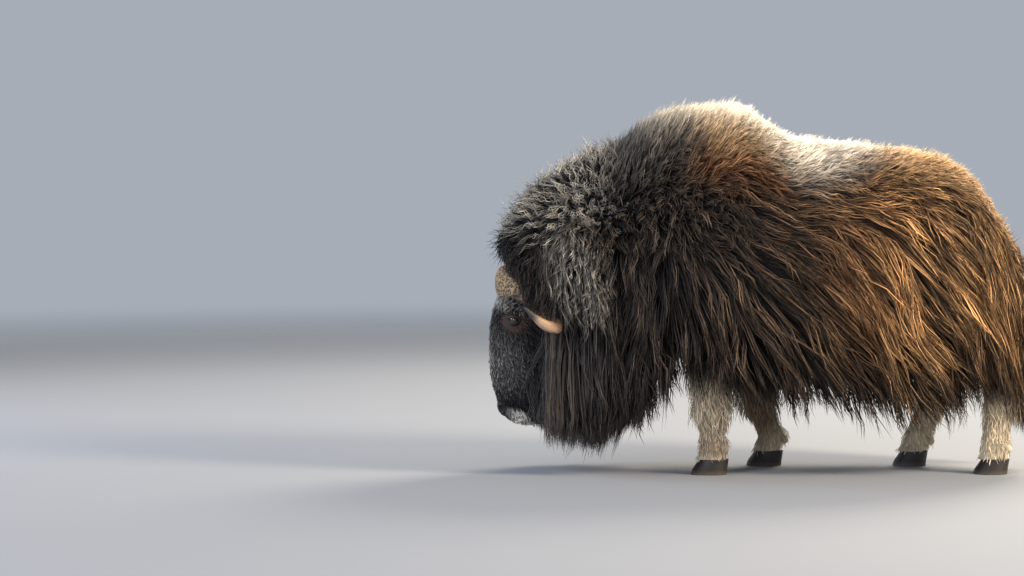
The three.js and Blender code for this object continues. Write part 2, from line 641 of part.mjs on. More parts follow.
// The head with its hair, cut to its zone, with pockets for the horns, eyes and ears.
function headSolid() {
  const brows = [-1, 1].map((side) => sideEllipsoid(BROW, side, 0, [10, 7]));
  const locks = joined(headLocks());
  let flesh = joined([headFlesh(), ...brows, ...muzzle(), ...[-1, 1].flatMap(eyelids)]);
  flesh = flesh.subtract(mouthSlit());
  for (const side of [-1, 1]) {
    flesh = flesh.subtract(sideEllipsoid(NOSTRIL, side, NOSE_PITCH, [8, 6]));
  }
  let whole = flesh.add(locks).intersect(sidePrism(HEAD_ZONE).translate(HEAD_ZONE_SHIFT));
  for (const side of [-1, 1]) {
    whole = whole.subtract(horn(side, GAP)).subtract(eye(side, GAP)).subtract(ear(side, GAP));
  }
  return largest(whole);
}

// The mane over the nape, thrown forward above the horns.
function bonnetLocks() {
  return BONNET_ROWS.flatMap(({ root, tip, levels }) => levels.flatMap((v) => [-1, 1].map((side) => {
    const start = [root + vary(14), v + vary(0.015)];
    const end = [tip + vary(12), Math.min(v * 1.06 + vary(0.02), 1)];
    return coatLock(start, end, side, BONNET_FORM);
  })));
}

// Hair over the nape and down both sides of the neck, in tiers.
function neckLocks() {
  const nape = NAPE_CREST.roots.map((x) => coatLock([x, 0], [x + NAPE_CREST.length, 0], 1, CREST_FORM));
  const drift = () => NECK_DRIFT;
  return nape.concat(NECK_TIERS.flatMap((tier) => coatRow({ ...NECK_FORM, ...tier, drift })));
}

// The beard that hangs from the throat nearly to the ground.
function beardLocks() {
  return BEARD_PLACES.flatMap((x, row) => BEARD_COLUMNS.flatMap((y, column) => {
    const sides = y === 0 ? [1] : [-1, 1];
    return sides.map((side) => {
      const stagger = 36 * (column % 2);
      const root = [x + stagger, side * y * 0.72, 372 + 14 * Math.abs(row - 1.5)];
      const hem = bellyHem(x + stagger) + vary(16) + y * 0.12;
      const out = new THREE.Vector3(row < 2 ? -0.5 : 0.2, side * Math.min(y / 100, 1), 0).normalize();
      return hangingLock(root, hem, out, [vary(10) - 10, side * y * 0.3], BEARD_WIDTH);
    });
  }));
}

// The neck, throat and mane, ahead of the seam and behind the head.
function neckSolid() {
  const flesh = trunkCore(CORE_FRONT, NECK_SEAM + SEAM_OVERLAP, 9);
  const throat = ellipsoid(THROAT.centre, THROAT.halves);
  const whole = joined([flesh, throat, ...bonnetLocks(), ...neckLocks(), ...beardLocks()]);
  const ahead = block(-BEYOND, NECK_SEAM - GAP, -10, BEYOND);
  let kept = whole.intersect(ahead).subtract(sidePrism(HEAD_ZONE));
  for (const side of [-1, 1]) {
    kept = kept.subtract(horn(side, GAP)).subtract(ear(side, GAP));
  }
  return largest(kept);
}

// The tail's short, tapered stump, which lies under the rump's hair.
function tailFlesh(grown = 0) {
  const rings = TAIL.map(([x, z, length, width]) => Array.from({ length: TAIL_SIDES }, (_, i) => {
    const angle = (2 * Math.PI * i) / TAIL_SIDES;
    return new THREE.Vector3(x + (length + grown) * Math.cos(angle), (width + grown) * Math.sin(angle), z);
  }));
  rings[0].forEach((p) => { p.z += grown; });
  rings[rings.length - 1].forEach((p) => { p.z -= grown; });
  return skinRings(rings);
}

// The tail with the locks of its tuft that stay clear of the torso.
function tailSolid(torso) {
  const tuft = [-0.9, 0, 0.9].map((turn) => {
    const out = new THREE.Vector3(Math.cos(turn), Math.sin(turn), 0);
    const x = 944 + out.x * 8;
    const line = [[938, out.y * 4, 430], [x, out.y * 20, 395], [x, out.y * 26, 340], [942, out.y * 20, 285]];
    return guidedLock(line, out, 26, 10);
  });
  return largest(joined([tailFlesh(), ...tuft.filter((piece) => clears(piece, torso))]));
}

// The coat of the torso: its crest, then tier over tier from the back line to the hem.
function torsoLocks() {
  const { count, end, length } = BACK_CREST;
  const crest = Array.from({ length: count }, (_, i) => {
    const x = mix(FLANK_START - SEAM_OVERLAP, end, (i + 0.5) / count) + vary(12);
    return coatLock([x, 0], [x + length, 0], 1, CREST_FORM);
  });
  return crest.concat(FLANK_TIERS.flatMap(({ swept, ...tier }) => coatRow({
    ...tier, count: FLANK_COUNT, drift: (x) => sweep(x) * swept,
  })));
}

// The rump's long hair, from its crest down behind, on each side of the tail.
function rumpLocks() {
  return RUMP_ROWS.flatMap(({ x, reach }) => RUMP_LEVELS.flatMap((v) => {
    const sides = v === 0 ? [1] : [-1, 1];
    return sides.map((side) => {
      const end = v === 0 ? 0 : Math.min(v * 1.15 + 0.18, 1);
      return coatLock([x, v], [x + reach + vary(6), end], side, RUMP_FORM);
    });
  }));
}

// The torso with its coat, behind the seam, with pockets for the tail and the legs.
function torsoSolid() {
  const flesh = trunkCore(NECK_SEAM - SEAM_OVERLAP, CORE_REAR, 13);
  const whole = joined([flesh, ...torsoLocks(), ...rumpLocks()]);
  let kept = whole.intersect(block(NECK_SEAM, BEYOND, -10, BEYOND)).subtract(tailFlesh(GAP));
  for (const place of Object.values(LEGS)) {
    kept = kept.subtract(legFlesh(place, GAP));
  }
  return largest(kept);
}

// A mesh of a solid, under its node's name.
function meshOf(name, solid, material) {
  const { vertProperties, triVerts } = solid.getMesh();
  const geometry = new THREE.BufferGeometry()
    .setAttribute('position', new THREE.BufferAttribute(vertProperties, 3))
    .setIndex(new THREE.BufferAttribute(triVerts, 1));
  const mesh = new THREE.Mesh(geometry, material);
  mesh.name = name;
  return mesh;
}

const finish = (color, roughness) => new THREE.MeshStandardMaterial({ color, roughness, metalness: 0 });
const materials = {
  coat: finish(COLOURS.coat, 0.85),
  mane: finish(COLOURS.mane, 0.85),
  face: finish(COLOURS.face, 0.8),
  stocking: finish(COLOURS.stocking, 0.85),
  horn: finish(COLOURS.horn, 0.4),
  hoof: finish(COLOURS.hoof, 0.5),
  eye: finish(COLOURS.eye, 0.05),
};

const torso = torsoSolid();
const muskox = new THREE.Group();
muskox.add(
  meshOf('head', headSolid(), materials.face),
  meshOf('neck', neckSolid(), materials.mane),
  meshOf('torso', torso, materials.coat),
  meshOf('tail', tailSolid(torso), materials.coat),
);
for (const [word, side] of [['left', -1], ['right', 1]]) {
  muskox.add(
    meshOf(`horn_${word}`, horn(side), materials.horn),
    meshOf(`ear_${word}`, ear(side), materials.face),
    meshOf(`eye_${word}`, eye(side), materials.eye),
  );
}
for (const [name, place] of Object.entries(LEGS)) {
  for (const [word, solid] of Object.entries(legParts(place, torso))) {
    muskox.add(meshOf(`leg_${name}_${word}`, solid, materials.stocking));
  }
  for (const [word, turn] of [['inner', -place.side], ['outer', place.side]]) {
    muskox.add(meshOf(`hoof_${name}_${word}`, hoofHalf(place, turn), materials.hoof));
  }
}

// The origin is on the floor, under the middle of the whole.
const extent = new THREE.Box3().setFromObject(muskox);
muskox.position.set(-(extent.min.x + extent.max.x) / 2, -(extent.min.y + extent.max.y) / 2, -extent.min.z);

export default muskox;
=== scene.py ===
# A muskox bull, life size: one skin, a long coat in tufts, rough-bossed horns, dark eyes and cloven hooves.
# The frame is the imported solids. Lengths are metres, the way that hair points is in degrees, and all other
# angles are in radians.
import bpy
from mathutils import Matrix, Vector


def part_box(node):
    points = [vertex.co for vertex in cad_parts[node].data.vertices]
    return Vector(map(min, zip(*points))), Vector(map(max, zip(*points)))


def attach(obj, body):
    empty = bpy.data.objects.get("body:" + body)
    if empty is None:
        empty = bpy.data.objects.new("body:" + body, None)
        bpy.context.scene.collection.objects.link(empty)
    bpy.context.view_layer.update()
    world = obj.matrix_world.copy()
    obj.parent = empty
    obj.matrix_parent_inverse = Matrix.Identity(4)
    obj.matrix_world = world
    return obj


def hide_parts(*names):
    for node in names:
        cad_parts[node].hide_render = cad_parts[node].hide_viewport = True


bl_info = {
    "name": "Muskox Bull",
    "version": (1, 0, 0),
    "blender": (4, 5, 0),
    "location": "View3D > Sidebar > Muskox",
    "description": "Dresses a life-size muskox bull in skin, long coat, horns, eyes and hooves",
    "category": "Add Mesh",
}

import math

import bpy
import numpy as np
from bpy.props import FloatProperty, FloatVectorProperty, IntProperty, PointerProperty
from bpy.types import Operator, Panel, PropertyGroup

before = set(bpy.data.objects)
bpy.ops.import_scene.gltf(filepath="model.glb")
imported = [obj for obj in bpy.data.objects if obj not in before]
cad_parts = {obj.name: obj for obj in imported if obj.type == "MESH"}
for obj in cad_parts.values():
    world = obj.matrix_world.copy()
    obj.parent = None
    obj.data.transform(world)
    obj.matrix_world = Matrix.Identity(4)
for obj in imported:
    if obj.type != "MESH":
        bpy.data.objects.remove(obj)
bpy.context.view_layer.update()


def middle(node):
    """The middle of a node's box."""
    low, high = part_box(node)
    return np.array(low + high) / 2


# The body is drawn with its eye here, and ORIGIN sets the drawing on the frame.
DRAWN_EYE = np.array([-0.858, -0.111, 0.531])
ORIGIN = middle("eye_left") - DRAWN_EYE
EYE_GAP = 0.0003  # by which the socket's radius is larger than the eye's
EYE_RADIUS = float((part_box("eye_left")[1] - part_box("eye_left")[0])[2]) / 2
LEFT, RIGHT = -1, 1
SIDES = (("left", LEFT), ("right", RIGHT))
DOWN = np.array([0.0, 0.0, -1.0])


def curve(pairs):
    """A smooth curve through (place, value) pairs that never overshoots them and is level beyond."""
    places, values = np.array(pairs, float).T
    slopes = np.diff(values) / np.diff(places)
    product, total = slopes[:-1] * slopes[1:], slopes[:-1] + slopes[1:]
    inner = np.where(product > 0, 2 * product / np.where(total == 0, 1, total), 0)
    tangents = np.concatenate([slopes[:1], inner, slopes[-1:]])

    def at(x):
        x = np.clip(x, places[0], places[-1])
        i = np.clip(np.searchsorted(places, x, side="right") - 1, 0, len(places) - 2)
        span = places[i + 1] - places[i]
        t = (x - places[i]) / span
        s = 1 - t
        return (values[i] * (1 + 2 * t) * s * s + values[i + 1] * (3 - 2 * t) * t * t
                + span * t * s * (tangents[i] * s - tangents[i + 1] * t))

    return at


def mix(a, b, share):
    """The value that lies at share on the way from a to b."""
    return a + (b - a) * share


def smooth(low, high, x):
    """0 below low, 1 above high and an even S-shaped rise between."""
    t = np.clip((x - low) / (high - low), 0, 1)
    return t * t * (3 - 2 * t)


def circle(count, whole=2 * math.pi):
    """Even steps once round, by angle or by another measure of the whole turn."""
    return np.linspace(0, whole, count, endpoint=False)


def power(value, exponent):
    """A signed power, which keeps the sign of value."""
    return np.sign(value) * np.abs(value) ** exponent


def unit(v):
    """v scaled to length 1 along its last axis."""
    return v / np.maximum(np.linalg.norm(v, axis=-1, keepdims=True), 1e-9)


# The coat's outline along the body: its back line, widest height, hem and half width.
coat_top = curve([
    (-0.907, 0.794), (-0.876, 0.896), (-0.786, 1.006), (-0.617, 1.097), (-0.514, 1.14), (-0.4, 1.226),
    (-0.276, 1.276), (-0.1, 1.286), (0.028, 1.219), (0.11, 1.17), (0.356, 1.146), (0.611, 1.109),
    (0.721, 1.05), (0.842, 0.878), (0.945, 0.67), (0.98, 0.42),
])
coat_wide = curve([
    (-0.907, 0.794), (-0.78, 0.8), (-0.56, 0.74), (-0.3, 0.72), (0.3, 0.7), (0.7, 0.68), (0.9, 0.56),
    (0.98, 0.4),
])
coat_half = curve([
    (-0.907, 0.04), (-0.88, 0.15), (-0.8, 0.232), (-0.7, 0.285), (-0.55, 0.335), (-0.4, 0.375), (-0.15, 0.4),
    (0.25, 0.4), (0.6, 0.375), (0.78, 0.305), (0.9, 0.215), (0.96, 0.11), (0.98, 0.03),
])
belly_hem = curve([
    (-0.76, 0.11), (-0.717, 0.068), (-0.56, 0.062), (-0.49, 0.12), (-0.35, 0.165), (-0.318, 0.285),
    (-0.285, 0.325), (-0.235, 0.29), (-0.17, 0.25), (-0.1, 0.24), (0.06, 0.205), (0.2, 0.19), (0.35, 0.165),
    (0.54, 0.148), (0.67, 0.158), (0.74, 0.2), (0.8, 0.235), (0.85, 0.2), (0.905, 0.135), (0.98, 0.11),
])
temple_hem = curve([
    (-0.907, 0.694), (-0.88, 0.674), (-0.86, 0.655), (-0.84, 0.612), (-0.82, 0.562), (-0.8, 0.526),
    (-0.78, 0.508), (-0.75, 0.496), (-0.72, 0.488), (-0.62, 0.44), (-0.5, 0.4),
])

# The body under the coat.
core_top = curve([
    (-0.868, 0.795), (-0.84, 0.862), (-0.786, 0.93), (-0.617, 1.04), (-0.514, 1.09), (-0.4, 1.176),
    (-0.276, 1.228), (-0.1, 1.238), (0.028, 1.176), (0.11, 1.138), (0.356, 1.116), (0.611, 1.074),
    (0.721, 1.004), (0.842, 0.822), (0.9, 0.65), (0.918, 0.545),
])
core_wide = curve([
    (-0.868, 0.795), (-0.7, 0.77), (-0.5, 0.74), (-0.3, 0.72), (0.4, 0.695), (0.7, 0.69), (0.918, 0.545),
])
core_bottom = curve([
    (-0.868, 0.795), (-0.82, 0.712), (-0.7, 0.6), (-0.6, 0.44), (-0.4, 0.4), (0.4, 0.4), (0.7, 0.415),
    (0.85, 0.46), (0.918, 0.545),
])
core_half = curve([
    (-0.868, 0.0), (-0.845, 0.095), (-0.78, 0.172), (-0.65, 0.222), (-0.5, 0.268), (-0.35, 0.308),
    (-0.15, 0.33), (0.25, 0.335), (0.6, 0.312), (0.78, 0.245), (0.88, 0.13), (0.918, 0.0),
])
CORE_FRONT, CORE_REAR = -0.868, 0.918
COAT_FRONT, COAT_REAR = -0.907, 0.98
FREE_FALL = 0.55  # share of the coat's fall that lies on the body, before it hangs free
HEM_TUCK = 0.1  # share of its half width by which the hem draws in
SECTION_POWER = 0.82  # below 1 the body's section is fuller than an ellipse
LEAST_FALL = 0.2  # smallest slope down the coat that a step along it is divided by


def coat_point(x, v, depth, side, hem=belly_hem):
    """A place of the coat. v runs from the back line, 0, to the hem, 1, and depth from the body, 0, to the
    tips, 1. Down to the widest height the section is a quarter of a superellipse, and below it the tips hang
    to the hem while the body closes underneath, and hair from any depth falls as far. Below 0, v has crossed
    the back line to the other side."""
    side = side * np.where(v < 0, -1, 1)
    fall = np.abs(v) / FREE_FALL
    free = np.maximum(fall - 1, 0) * FREE_FALL / (1 - FREE_FALL)
    angle = np.minimum(fall, 1) * math.pi / 2
    around = np.sin(angle) ** SECTION_POWER
    above = np.maximum(np.cos(angle), 0) ** SECTION_POWER
    under = np.minimum(free, 1) * math.pi / 2
    hangs = free > 0
    tip_y = coat_half(x) * around * (1 - HEM_TUCK * free * free)
    tip_z = np.where(hangs, mix(coat_wide(x), hem(x), free), mix(coat_wide(x), coat_top(x), above))
    root_y = core_half(x) * np.where(hangs, np.cos(under) ** SECTION_POWER, around)
    root_z = np.where(hangs, mix(core_wide(x), core_bottom(x), np.sin(under) ** SECTION_POWER),
                      mix(core_wide(x), core_top(x), above))
    drop = np.where(hangs & (depth > 0), 1 - (1 - np.clip(depth, 0, 1)) ** 3, depth)
    return np.stack([x + 0 * v, side * mix(root_y, tip_y, depth), mix(root_z, tip_z, drop)], -1)


def coat_slopes(x, v, side, hem=belly_hem):
    """How the coat's surface moves for a metre of x and for a whole of v, by central differences."""
    step, share = 0.004, 0.01
    along = (coat_point(x + step, v, 1, side, hem) - coat_point(x - step, v, 1, side, hem)) / (2 * step)
    low = np.maximum(np.abs(v), share)
    ahead, behind = (coat_point(x, low + way, 1, side, hem) for way in (share, -share))
    return along, (ahead - behind) / (2 * share)


def field(places, falls, rows):
    """A smooth field over x and v: rows hold one value per place, for each fall, and blend between them."""
    places, falls, rows = np.array(places, float), np.array(falls, float), np.array(rows, float)

    def at(x, v):
        v = np.abs(v)
        i = np.clip(np.searchsorted(places, x) - 1, 0, len(places) - 2)
        j = np.clip(np.searchsorted(falls, v) - 1, 0, len(falls) - 2)
        s = smooth(places[i], places[i + 1], x)
        t = smooth(falls[j], falls[j + 1], v)
        return mix(mix(rows[j, i], rows[j, i + 1], s), mix(rows[j + 1, i], rows[j + 1, i + 1], s), t)

    return at


# The end of the rump's hair, by height.
rear_edge = curve([(0.42, 0.972), (0.55, 0.96), (0.67, 0.942), (0.78, 0.895), (0.878, 0.842)])

# The way the hair points, from straight back, 0, to straight down, 90. It turns round a whorl on the
# shoulder.
LIE_PLACES = [-0.60, -0.48, -0.40, -0.28, -0.15, 0.0, 0.20, 0.40, 0.60, 0.80, 0.95]
coat_lie = field(LIE_PLACES, [0, 0.12, 0.26, 0.365, 0.43, 0.52, 0.62, 0.80, 1.0], [
    [0, 0, 0, 0, 0, 0, 0, 0, 0, 0, 0],
    [-25, -32, -34, -26, -16, 3, 6, 8, 12, 30, 45],
    [-45, -46, -42, -30, -14, 4, 8, 14, 20, 40, 60],
    [-52, -42, -24, -6, 0, 4, 8, 14, 22, 46, 70],
    [96, 92, 82, 58, 22, 12, 16, 34, 36, 52, 76],
    [96, 95, 92, 82, 50, 30, 34, 60, 50, 56, 80],
    [94, 93, 91, 86, 68, 50, 44, 66, 56, 58, 82],
    [91, 91, 90, 86, 76, 62, 50, 50, 50, 60, 84],
    [90, 90, 90, 88, 86, 82, 78, 74, 74, 80, 88],
])
# How long the hair is, in metres.
coat_length = field(LIE_PLACES, [0, 0.15, 0.30, 0.40, 0.46, 0.54, 0.64, 1.0], [
    [0.070, 0.070, 0.072, 0.072, 0.070, 0.068, 0.066, 0.068, 0.078, 0.120, 0.160],
    [0.070, 0.070, 0.070, 0.070, 0.068, 0.066, 0.064, 0.068, 0.088, 0.150, 0.220],
    [0.064, 0.062, 0.062, 0.068, 0.080, 0.095, 0.105, 0.135, 0.180, 0.240, 0.300],
    [0.062, 0.062, 0.070, 0.110, 0.190, 0.240, 0.270, 0.300, 0.320, 0.340, 0.350],
    [0.110, 0.130, 0.160, 0.230, 0.310, 0.350, 0.370, 0.380, 0.380, 0.380, 0.370],
    [0.260, 0.300, 0.330, 0.380, 0.410, 0.410, 0.410, 0.410, 0.400, 0.400, 0.400],
    [0.450, 0.480, 0.480, 0.470, 0.440, 0.430, 0.420, 0.420, 0.410, 0.410, 0.410],
    [0.600, 0.600, 0.600, 0.600, 0.560, 0.500, 0.480, 0.480, 0.480, 0.460, 0.440],
])

# The head without hair, by height: its front line, back line and half width.
face_line = curve([
    (0.157, -0.838), (0.172, -0.866), (0.19, -0.89), (0.22, -0.911), (0.262, -0.921), (0.3, -0.931),
    (0.37, -0.938), (0.47, -0.939), (0.545, -0.93), (0.605, -0.91), (0.7, -0.872),
])
nape_line = curve([
    (0.157, -0.79), (0.18, -0.752), (0.24, -0.738), (0.33, -0.735), (0.43, -0.64), (0.7, -0.64),
])
head_half = curve([
    (0.157, 0.024), (0.172, 0.046), (0.195, 0.06), (0.235, 0.065), (0.29, 0.066), (0.35, 0.072),
    (0.43, 0.088), (0.495, 0.104), (0.56, 0.116), (0.64, 0.128), (0.7, 0.132),
])
HEAD_LOW, HEAD_HIGH = 0.157, 0.703
HEAD_POWER = 0.72  # below 1 the head's levels are squarer than ellipses
HEAD_MIDDLE = 0.52  # share of the way from face to nape at which the head is widest
LIP_PITCH, NOSE_PITCH = -0.375, -0.45  # radians about Y, along the mouth and along the nose pad
NOSTRIL = np.array([-0.905, 0.043, 0.216])


def head_point(turn, z):
    """A place on the head: turn runs from the back, 0, by the left side, a quarter, to the face, a half.
    Each level is a superellipse between the face and nape lines, and the brow swells over the eye."""
    angle = turn * 2 * math.pi
    front, back = face_line(z), nape_line(z)
    centre = mix(front, back, HEAD_MIDDLE)
    reach = np.where(np.cos(angle) < 0, centre - front, back - centre)
    x = centre + reach * power(np.cos(angle), HEAD_POWER)
    y = -head_half(z) * power(np.sin(angle), HEAD_POWER)
    swell = np.exp(-((x + 0.852) / 0.055) ** 2 - ((z - 0.536) / 0.055) ** 2)
    swell = swell * smooth(0.3, 0.9, np.abs(np.sin(angle)))
    return np.stack([x, y + np.sign(y) * 0.011 * swell, z + 0 * turn], -1)


# Each leg as rows from the foot up: height, shift along the body, half length and half width.
FORE = [
    (0.052, 0, 0.05, 0.046), (0.078, 0.004, 0.044, 0.04), (0.104, 0.006, 0.044, 0.038),
    (0.15, 0.002, 0.037, 0.033), (0.2, 0, 0.045, 0.04), (0.232, -0.002, 0.051, 0.046),
    (0.275, 0.002, 0.056, 0.05), (0.35, 0.014, 0.084, 0.066), (0.47, 0.026, 0.102, 0.074),
]
FLEXED_FORE = [
    (0.052, 0, 0.046, 0.044), (0.078, 0.01, 0.044, 0.04), (0.108, 0.02, 0.046, 0.039),
    (0.15, -0.002, 0.039, 0.033), (0.2, -0.026, 0.046, 0.04), (0.236, -0.034, 0.052, 0.046),
    (0.28, -0.026, 0.058, 0.05), (0.35, -0.01, 0.084, 0.066), (0.47, 0.004, 0.102, 0.074),
]
HIND = [
    (0.052, 0, 0.05, 0.044), (0.078, 0.006, 0.044, 0.039), (0.104, 0.01, 0.045, 0.037),
    (0.155, 0.01, 0.038, 0.033), (0.22, 0.018, 0.044, 0.036), (0.285, 0.034, 0.06, 0.044),
    (0.33, 0.026, 0.066, 0.054), (0.39, 0.002, 0.1, 0.07), (0.48, -0.024, 0.13, 0.084),
]
BACK_SET_HIND = [
    (0.052, 0, 0.048, 0.044), (0.078, 0.014, 0.044, 0.039), (0.104, 0.024, 0.045, 0.037),
    (0.155, 0.042, 0.038, 0.033), (0.22, 0.066, 0.044, 0.036), (0.285, 0.088, 0.06, 0.044),
    (0.33, 0.084, 0.066, 0.054), (0.39, 0.066, 0.1, 0.07), (0.48, 0.044, 0.13, 0.084),
]
LEGS = {
    "left_fore": {"side": LEFT, "x": -0.178, "y": 0.165, "rows": FORE, "hoof": 0.124},
    "right_fore": {"side": RIGHT, "x": 0.034, "y": 0.165, "rows": FLEXED_FORE, "hoof": 0.122},
    "left_hind": {"side": LEFT, "x": 0.8, "y": 0.15, "rows": HIND, "hoof": 0.116},
    "right_hind": {"side": RIGHT, "x": 0.548, "y": 0.15, "rows": BACK_SET_HIND, "hoof": 0.116},
}
HOOF_HEIGHT, HOOF_WIDTH = 0.0516, 0.05
HOOF_CLEFT, HOOF_SLOPE = 0.007, 0.016  # gap between the halves, and how far their tops lie back
# The tail as rows of height, middle, half length and half width.
TAIL_ROWS = [
    (0.385, 0.94, 0.008, 0.007), (0.42, 0.94, 0.017, 0.014), (0.47, 0.936, 0.024, 0.019),
    (0.52, 0.926, 0.028, 0.022), (0.56, 0.905, 0.03, 0.024),
]
# An ear's root, the way it points, its sizes, and how deep its root is sunk.
EAR = {
    "base": (-0.708, 0.112, 0.672), "direction": (0.1, 0.95, -0.26),
    "length": 0.138, "width": 0.07, "thick": 0.03, "sunk": 0.018,
}
# The middle line of the right horn from the gap in the boss to the point, and its halves along it.
HORN_PATH = [
    (-0.893, 0.005, 0.655), (-0.884, 0.066, 0.658), (-0.848, 0.13, 0.644), (-0.788, 0.174, 0.597),
    (-0.734, 0.207, 0.538), (-0.713, 0.24, 0.514), (-0.752, 0.282, 0.524), (-0.79, 0.301, 0.552),
    (-0.828, 0.312, 0.589),
]
horn_broad = curve([(0, 0.057), (0.12, 0.056), (0.28, 0.038), (0.45, 0.027), (0.6, 0.023), (0.75, 0.018),
                    (0.9, 0.01), (1, 0.003)])
horn_thick = curve([(0, 0.035), (0.14, 0.038), (0.3, 0.03), (0.6, 0.019), (0.75, 0.017), (0.9, 0.01),
                    (1, 0.003)])


def leg_middle(place, z):
    """The middle line of a leg at the height z."""
    shift = curve([row[:2] for row in place["rows"]])(z)
    return np.stack([place["x"] + shift, 0 * z + place["side"] * place["y"], z], -1)


def leg_point(place, turn, z):
    """A place on a leg: turn runs once round from the back, and each level is an ellipse."""
    heights, shifts, lengths, widths = np.array(place["rows"]).T
    shift, length, width = (curve(list(zip(heights, values)))(z) for values in (shifts, lengths, widths))
    angle = turn * 2 * math.pi
    return np.stack([place["x"] + shift + length * np.cos(angle),
                     place["side"] * place["y"] + width * np.sin(angle), z + 0 * turn], -1)


def colour(hexadecimal):
    """A linear colour from the usual six digits."""
    parts = np.array([int(hexadecimal[i:i + 2], 16) for i in (0, 2, 4)]) / 255
    return np.where(parts <= 0.04045, parts / 12.92, ((parts + 0.055) / 1.055) ** 2.4)


def tint(hexadecimal, name, description):
    """A colour setting."""
    return FloatVectorProperty(
        name=name, description=description, subtype="COLOR", size=3, min=0, max=1,
        default=tuple(float(c) for c in colour(hexadecimal)),
    )


class MuskoxCoatColours(PropertyGroup):
    black: tint("231f20", "Black", "Neck, chest and fringe")
    dark: tint("2a2320", "Dark brown", "Front of the flank")
    brown: tint("35271f", "Brown", "Back of the flank")
    umber: tint("42301f", "Umber", "Rump")
    rust: tint("6a442c", "Rust", "Band behind the hump")
    # Tan and Cream are pale hair, lightened further by painted rim light of a low sun on the tops of rump
    # and hump.
    tan: tint("d6b68c", "Tan", "Top of the rump")
    cream: tint("faeedb", "Cream", "Top of the hump")
    saddle: tint("fcf6ea", "Saddle", "Pale patch on the back")
    grey: tint("45413f", "Grey", "Nape and the hair beside the horns")
    sheen_dark: tint("7a6858", "Dark sheen", "Lit strands of neck and chest")
    sheen_brown: tint("a38263", "Brown sheen", "Lit strands of the flank")
    sheen_gold: tint("e8b377", "Gold sheen", "Lit strands of the rump and the back of the flank")
    frost: tint("ded4c2", "Frost", "Tips of the mane over the horns")
    straw: tint("f6e6c8", "Straw", "Lower legs")
    fetlock: tint("8d745a", "Fetlock", "Darker hair of the knees and pasterns")


class MuskoxFaceColours(PropertyGroup):
    black: tint("221f20", "Black", "Face and the band above the mouth")
    grey: tint("6e6a67", "Grey", "Middle of the face")
    brow: tint("beb8af", "Brow", "Hair under the boss")
    rust: tint("523c30", "Rust", "Hair round the eye")
    lip: tint("ece4d6", "Lip", "Lips and chin")
    nose: tint("121010", "Nose", "Bare skin round the nostrils")


class MuskoxHardColours(PropertyGroup):
    boss: tint("bea17c", "Boss", "Rough base of the horns")
    boss_pit: tint("30251b", "Boss pits", "Hollows of the rough base")
    horn: tint("ad8763", "Horn", "Smooth part of the horns")
    horn_pale: tint("d8b79b", "Pale horn", "Outer curve of the horns")
    horn_tip: tint("423e3e", "Horn tip", "Points of the horns")
    hoof: tint("2b2521", "Hoof", "Walls of the hooves")
    hoof_worn: tint("6d5f50", "Worn hoof", "Lower rim of the hooves")
    iris: tint("2c160c", "Iris", "Iris of the eyes")
    pupil: tint("030304", "Pupil", "Pupil of the eyes")


class MuskoxCoatSizes(PropertyGroup):
    seed: IntProperty(name="Seed", description="Start of every random draw", default=7)
    share: FloatProperty(name="Share", description="Share of the tufts that are made", default=1.0,
                         min=0.02, max=1.0)
    strand: FloatProperty(name="Strand", description="Width of a long strand", default=0.0037, unit="LENGTH")
    down: FloatProperty(name="Down", description="Width of a tuft of short hair", default=0.0032,
                        unit="LENGTH")
    fine: FloatProperty(name="Fine", description="Width of a tuft on face and feet", default=0.003,
                        unit="LENGTH")
    clump: FloatProperty(name="Clump", description="Radius of a lock's root", default=0.016, unit="LENGTH")


class MuskoxStage(PropertyGroup):
    distance: FloatProperty(name="Distance", description="From the camera to the animal", default=14.0,
                            unit="LENGTH")
    height: FloatProperty(name="Elevation", description="Height of the camera's view",
                          default=math.radians(3.0), subtype="ANGLE")
    span: FloatProperty(name="Span", description="Width that the camera takes in", default=3.584,
                        unit="LENGTH")
    aim_x: FloatProperty(name="Aim along", description="Middle of the view along the body", default=-0.868,
                         unit="LENGTH")
    aim_z: FloatProperty(name="Aim height", description="Middle of the view above the floor", default=0.637,
                         unit="LENGTH")
    floor: tint("9fa3a9", "Floor", "Studio floor")
    sky: tint("c3cbd6", "Surround", "Light that comes from all round")


def settings():
    """The scene's settings of the animal."""
    return bpy.context.scene.muskox


def shade(group, name):
    """A colour of the settings as an array."""
    return np.array(getattr(getattr(settings(), group), name))


# Meshes

def set_mesh(name, points, faces, tints=None, uv_maps=None, values=None):
    """An object at the origin from arrays of points in the drawing and of triangles. tints are colours of
    its points, uv_maps hold a place for each point, and values a number for each point."""
    mesh = bpy.data.meshes.new(name)
    points = np.asarray(points, float).reshape(-1, 3) + ORIGIN
    corners = np.asarray(faces, np.int32).reshape(-1, 3)
    mesh.vertices.add(len(points))
    mesh.vertices.foreach_set("co", points.astype(np.float32).ravel())
    mesh.loops.add(corners.size)
    mesh.loops.foreach_set("vertex_index", corners.ravel())
    mesh.polygons.add(len(corners))
    mesh.polygons.foreach_set("loop_start", np.arange(0, corners.size, 3, dtype=np.int32))
    mesh.polygons.foreach_set("use_smooth", np.ones(len(corners), bool))
    if tints is not None:
        add_tints(mesh, tints)
    for uv_name, places in (uv_maps or {}).items():
        layer = mesh.uv_layers.new(name=uv_name)
        layer.uv.foreach_set("vector", np.asarray(places, np.float32)[corners.ravel()].ravel())
    for value_name, numbers in (values or {}).items():
        attribute = mesh.attributes.new(value_name, "FLOAT", "POINT")
        attribute.data.foreach_set("value", numbers.astype(np.float32))
    mesh.update(calc_edges=True)
    made = bpy.data.objects.new(name, mesh)
    bpy.context.scene.collection.objects.link(made)
    return made


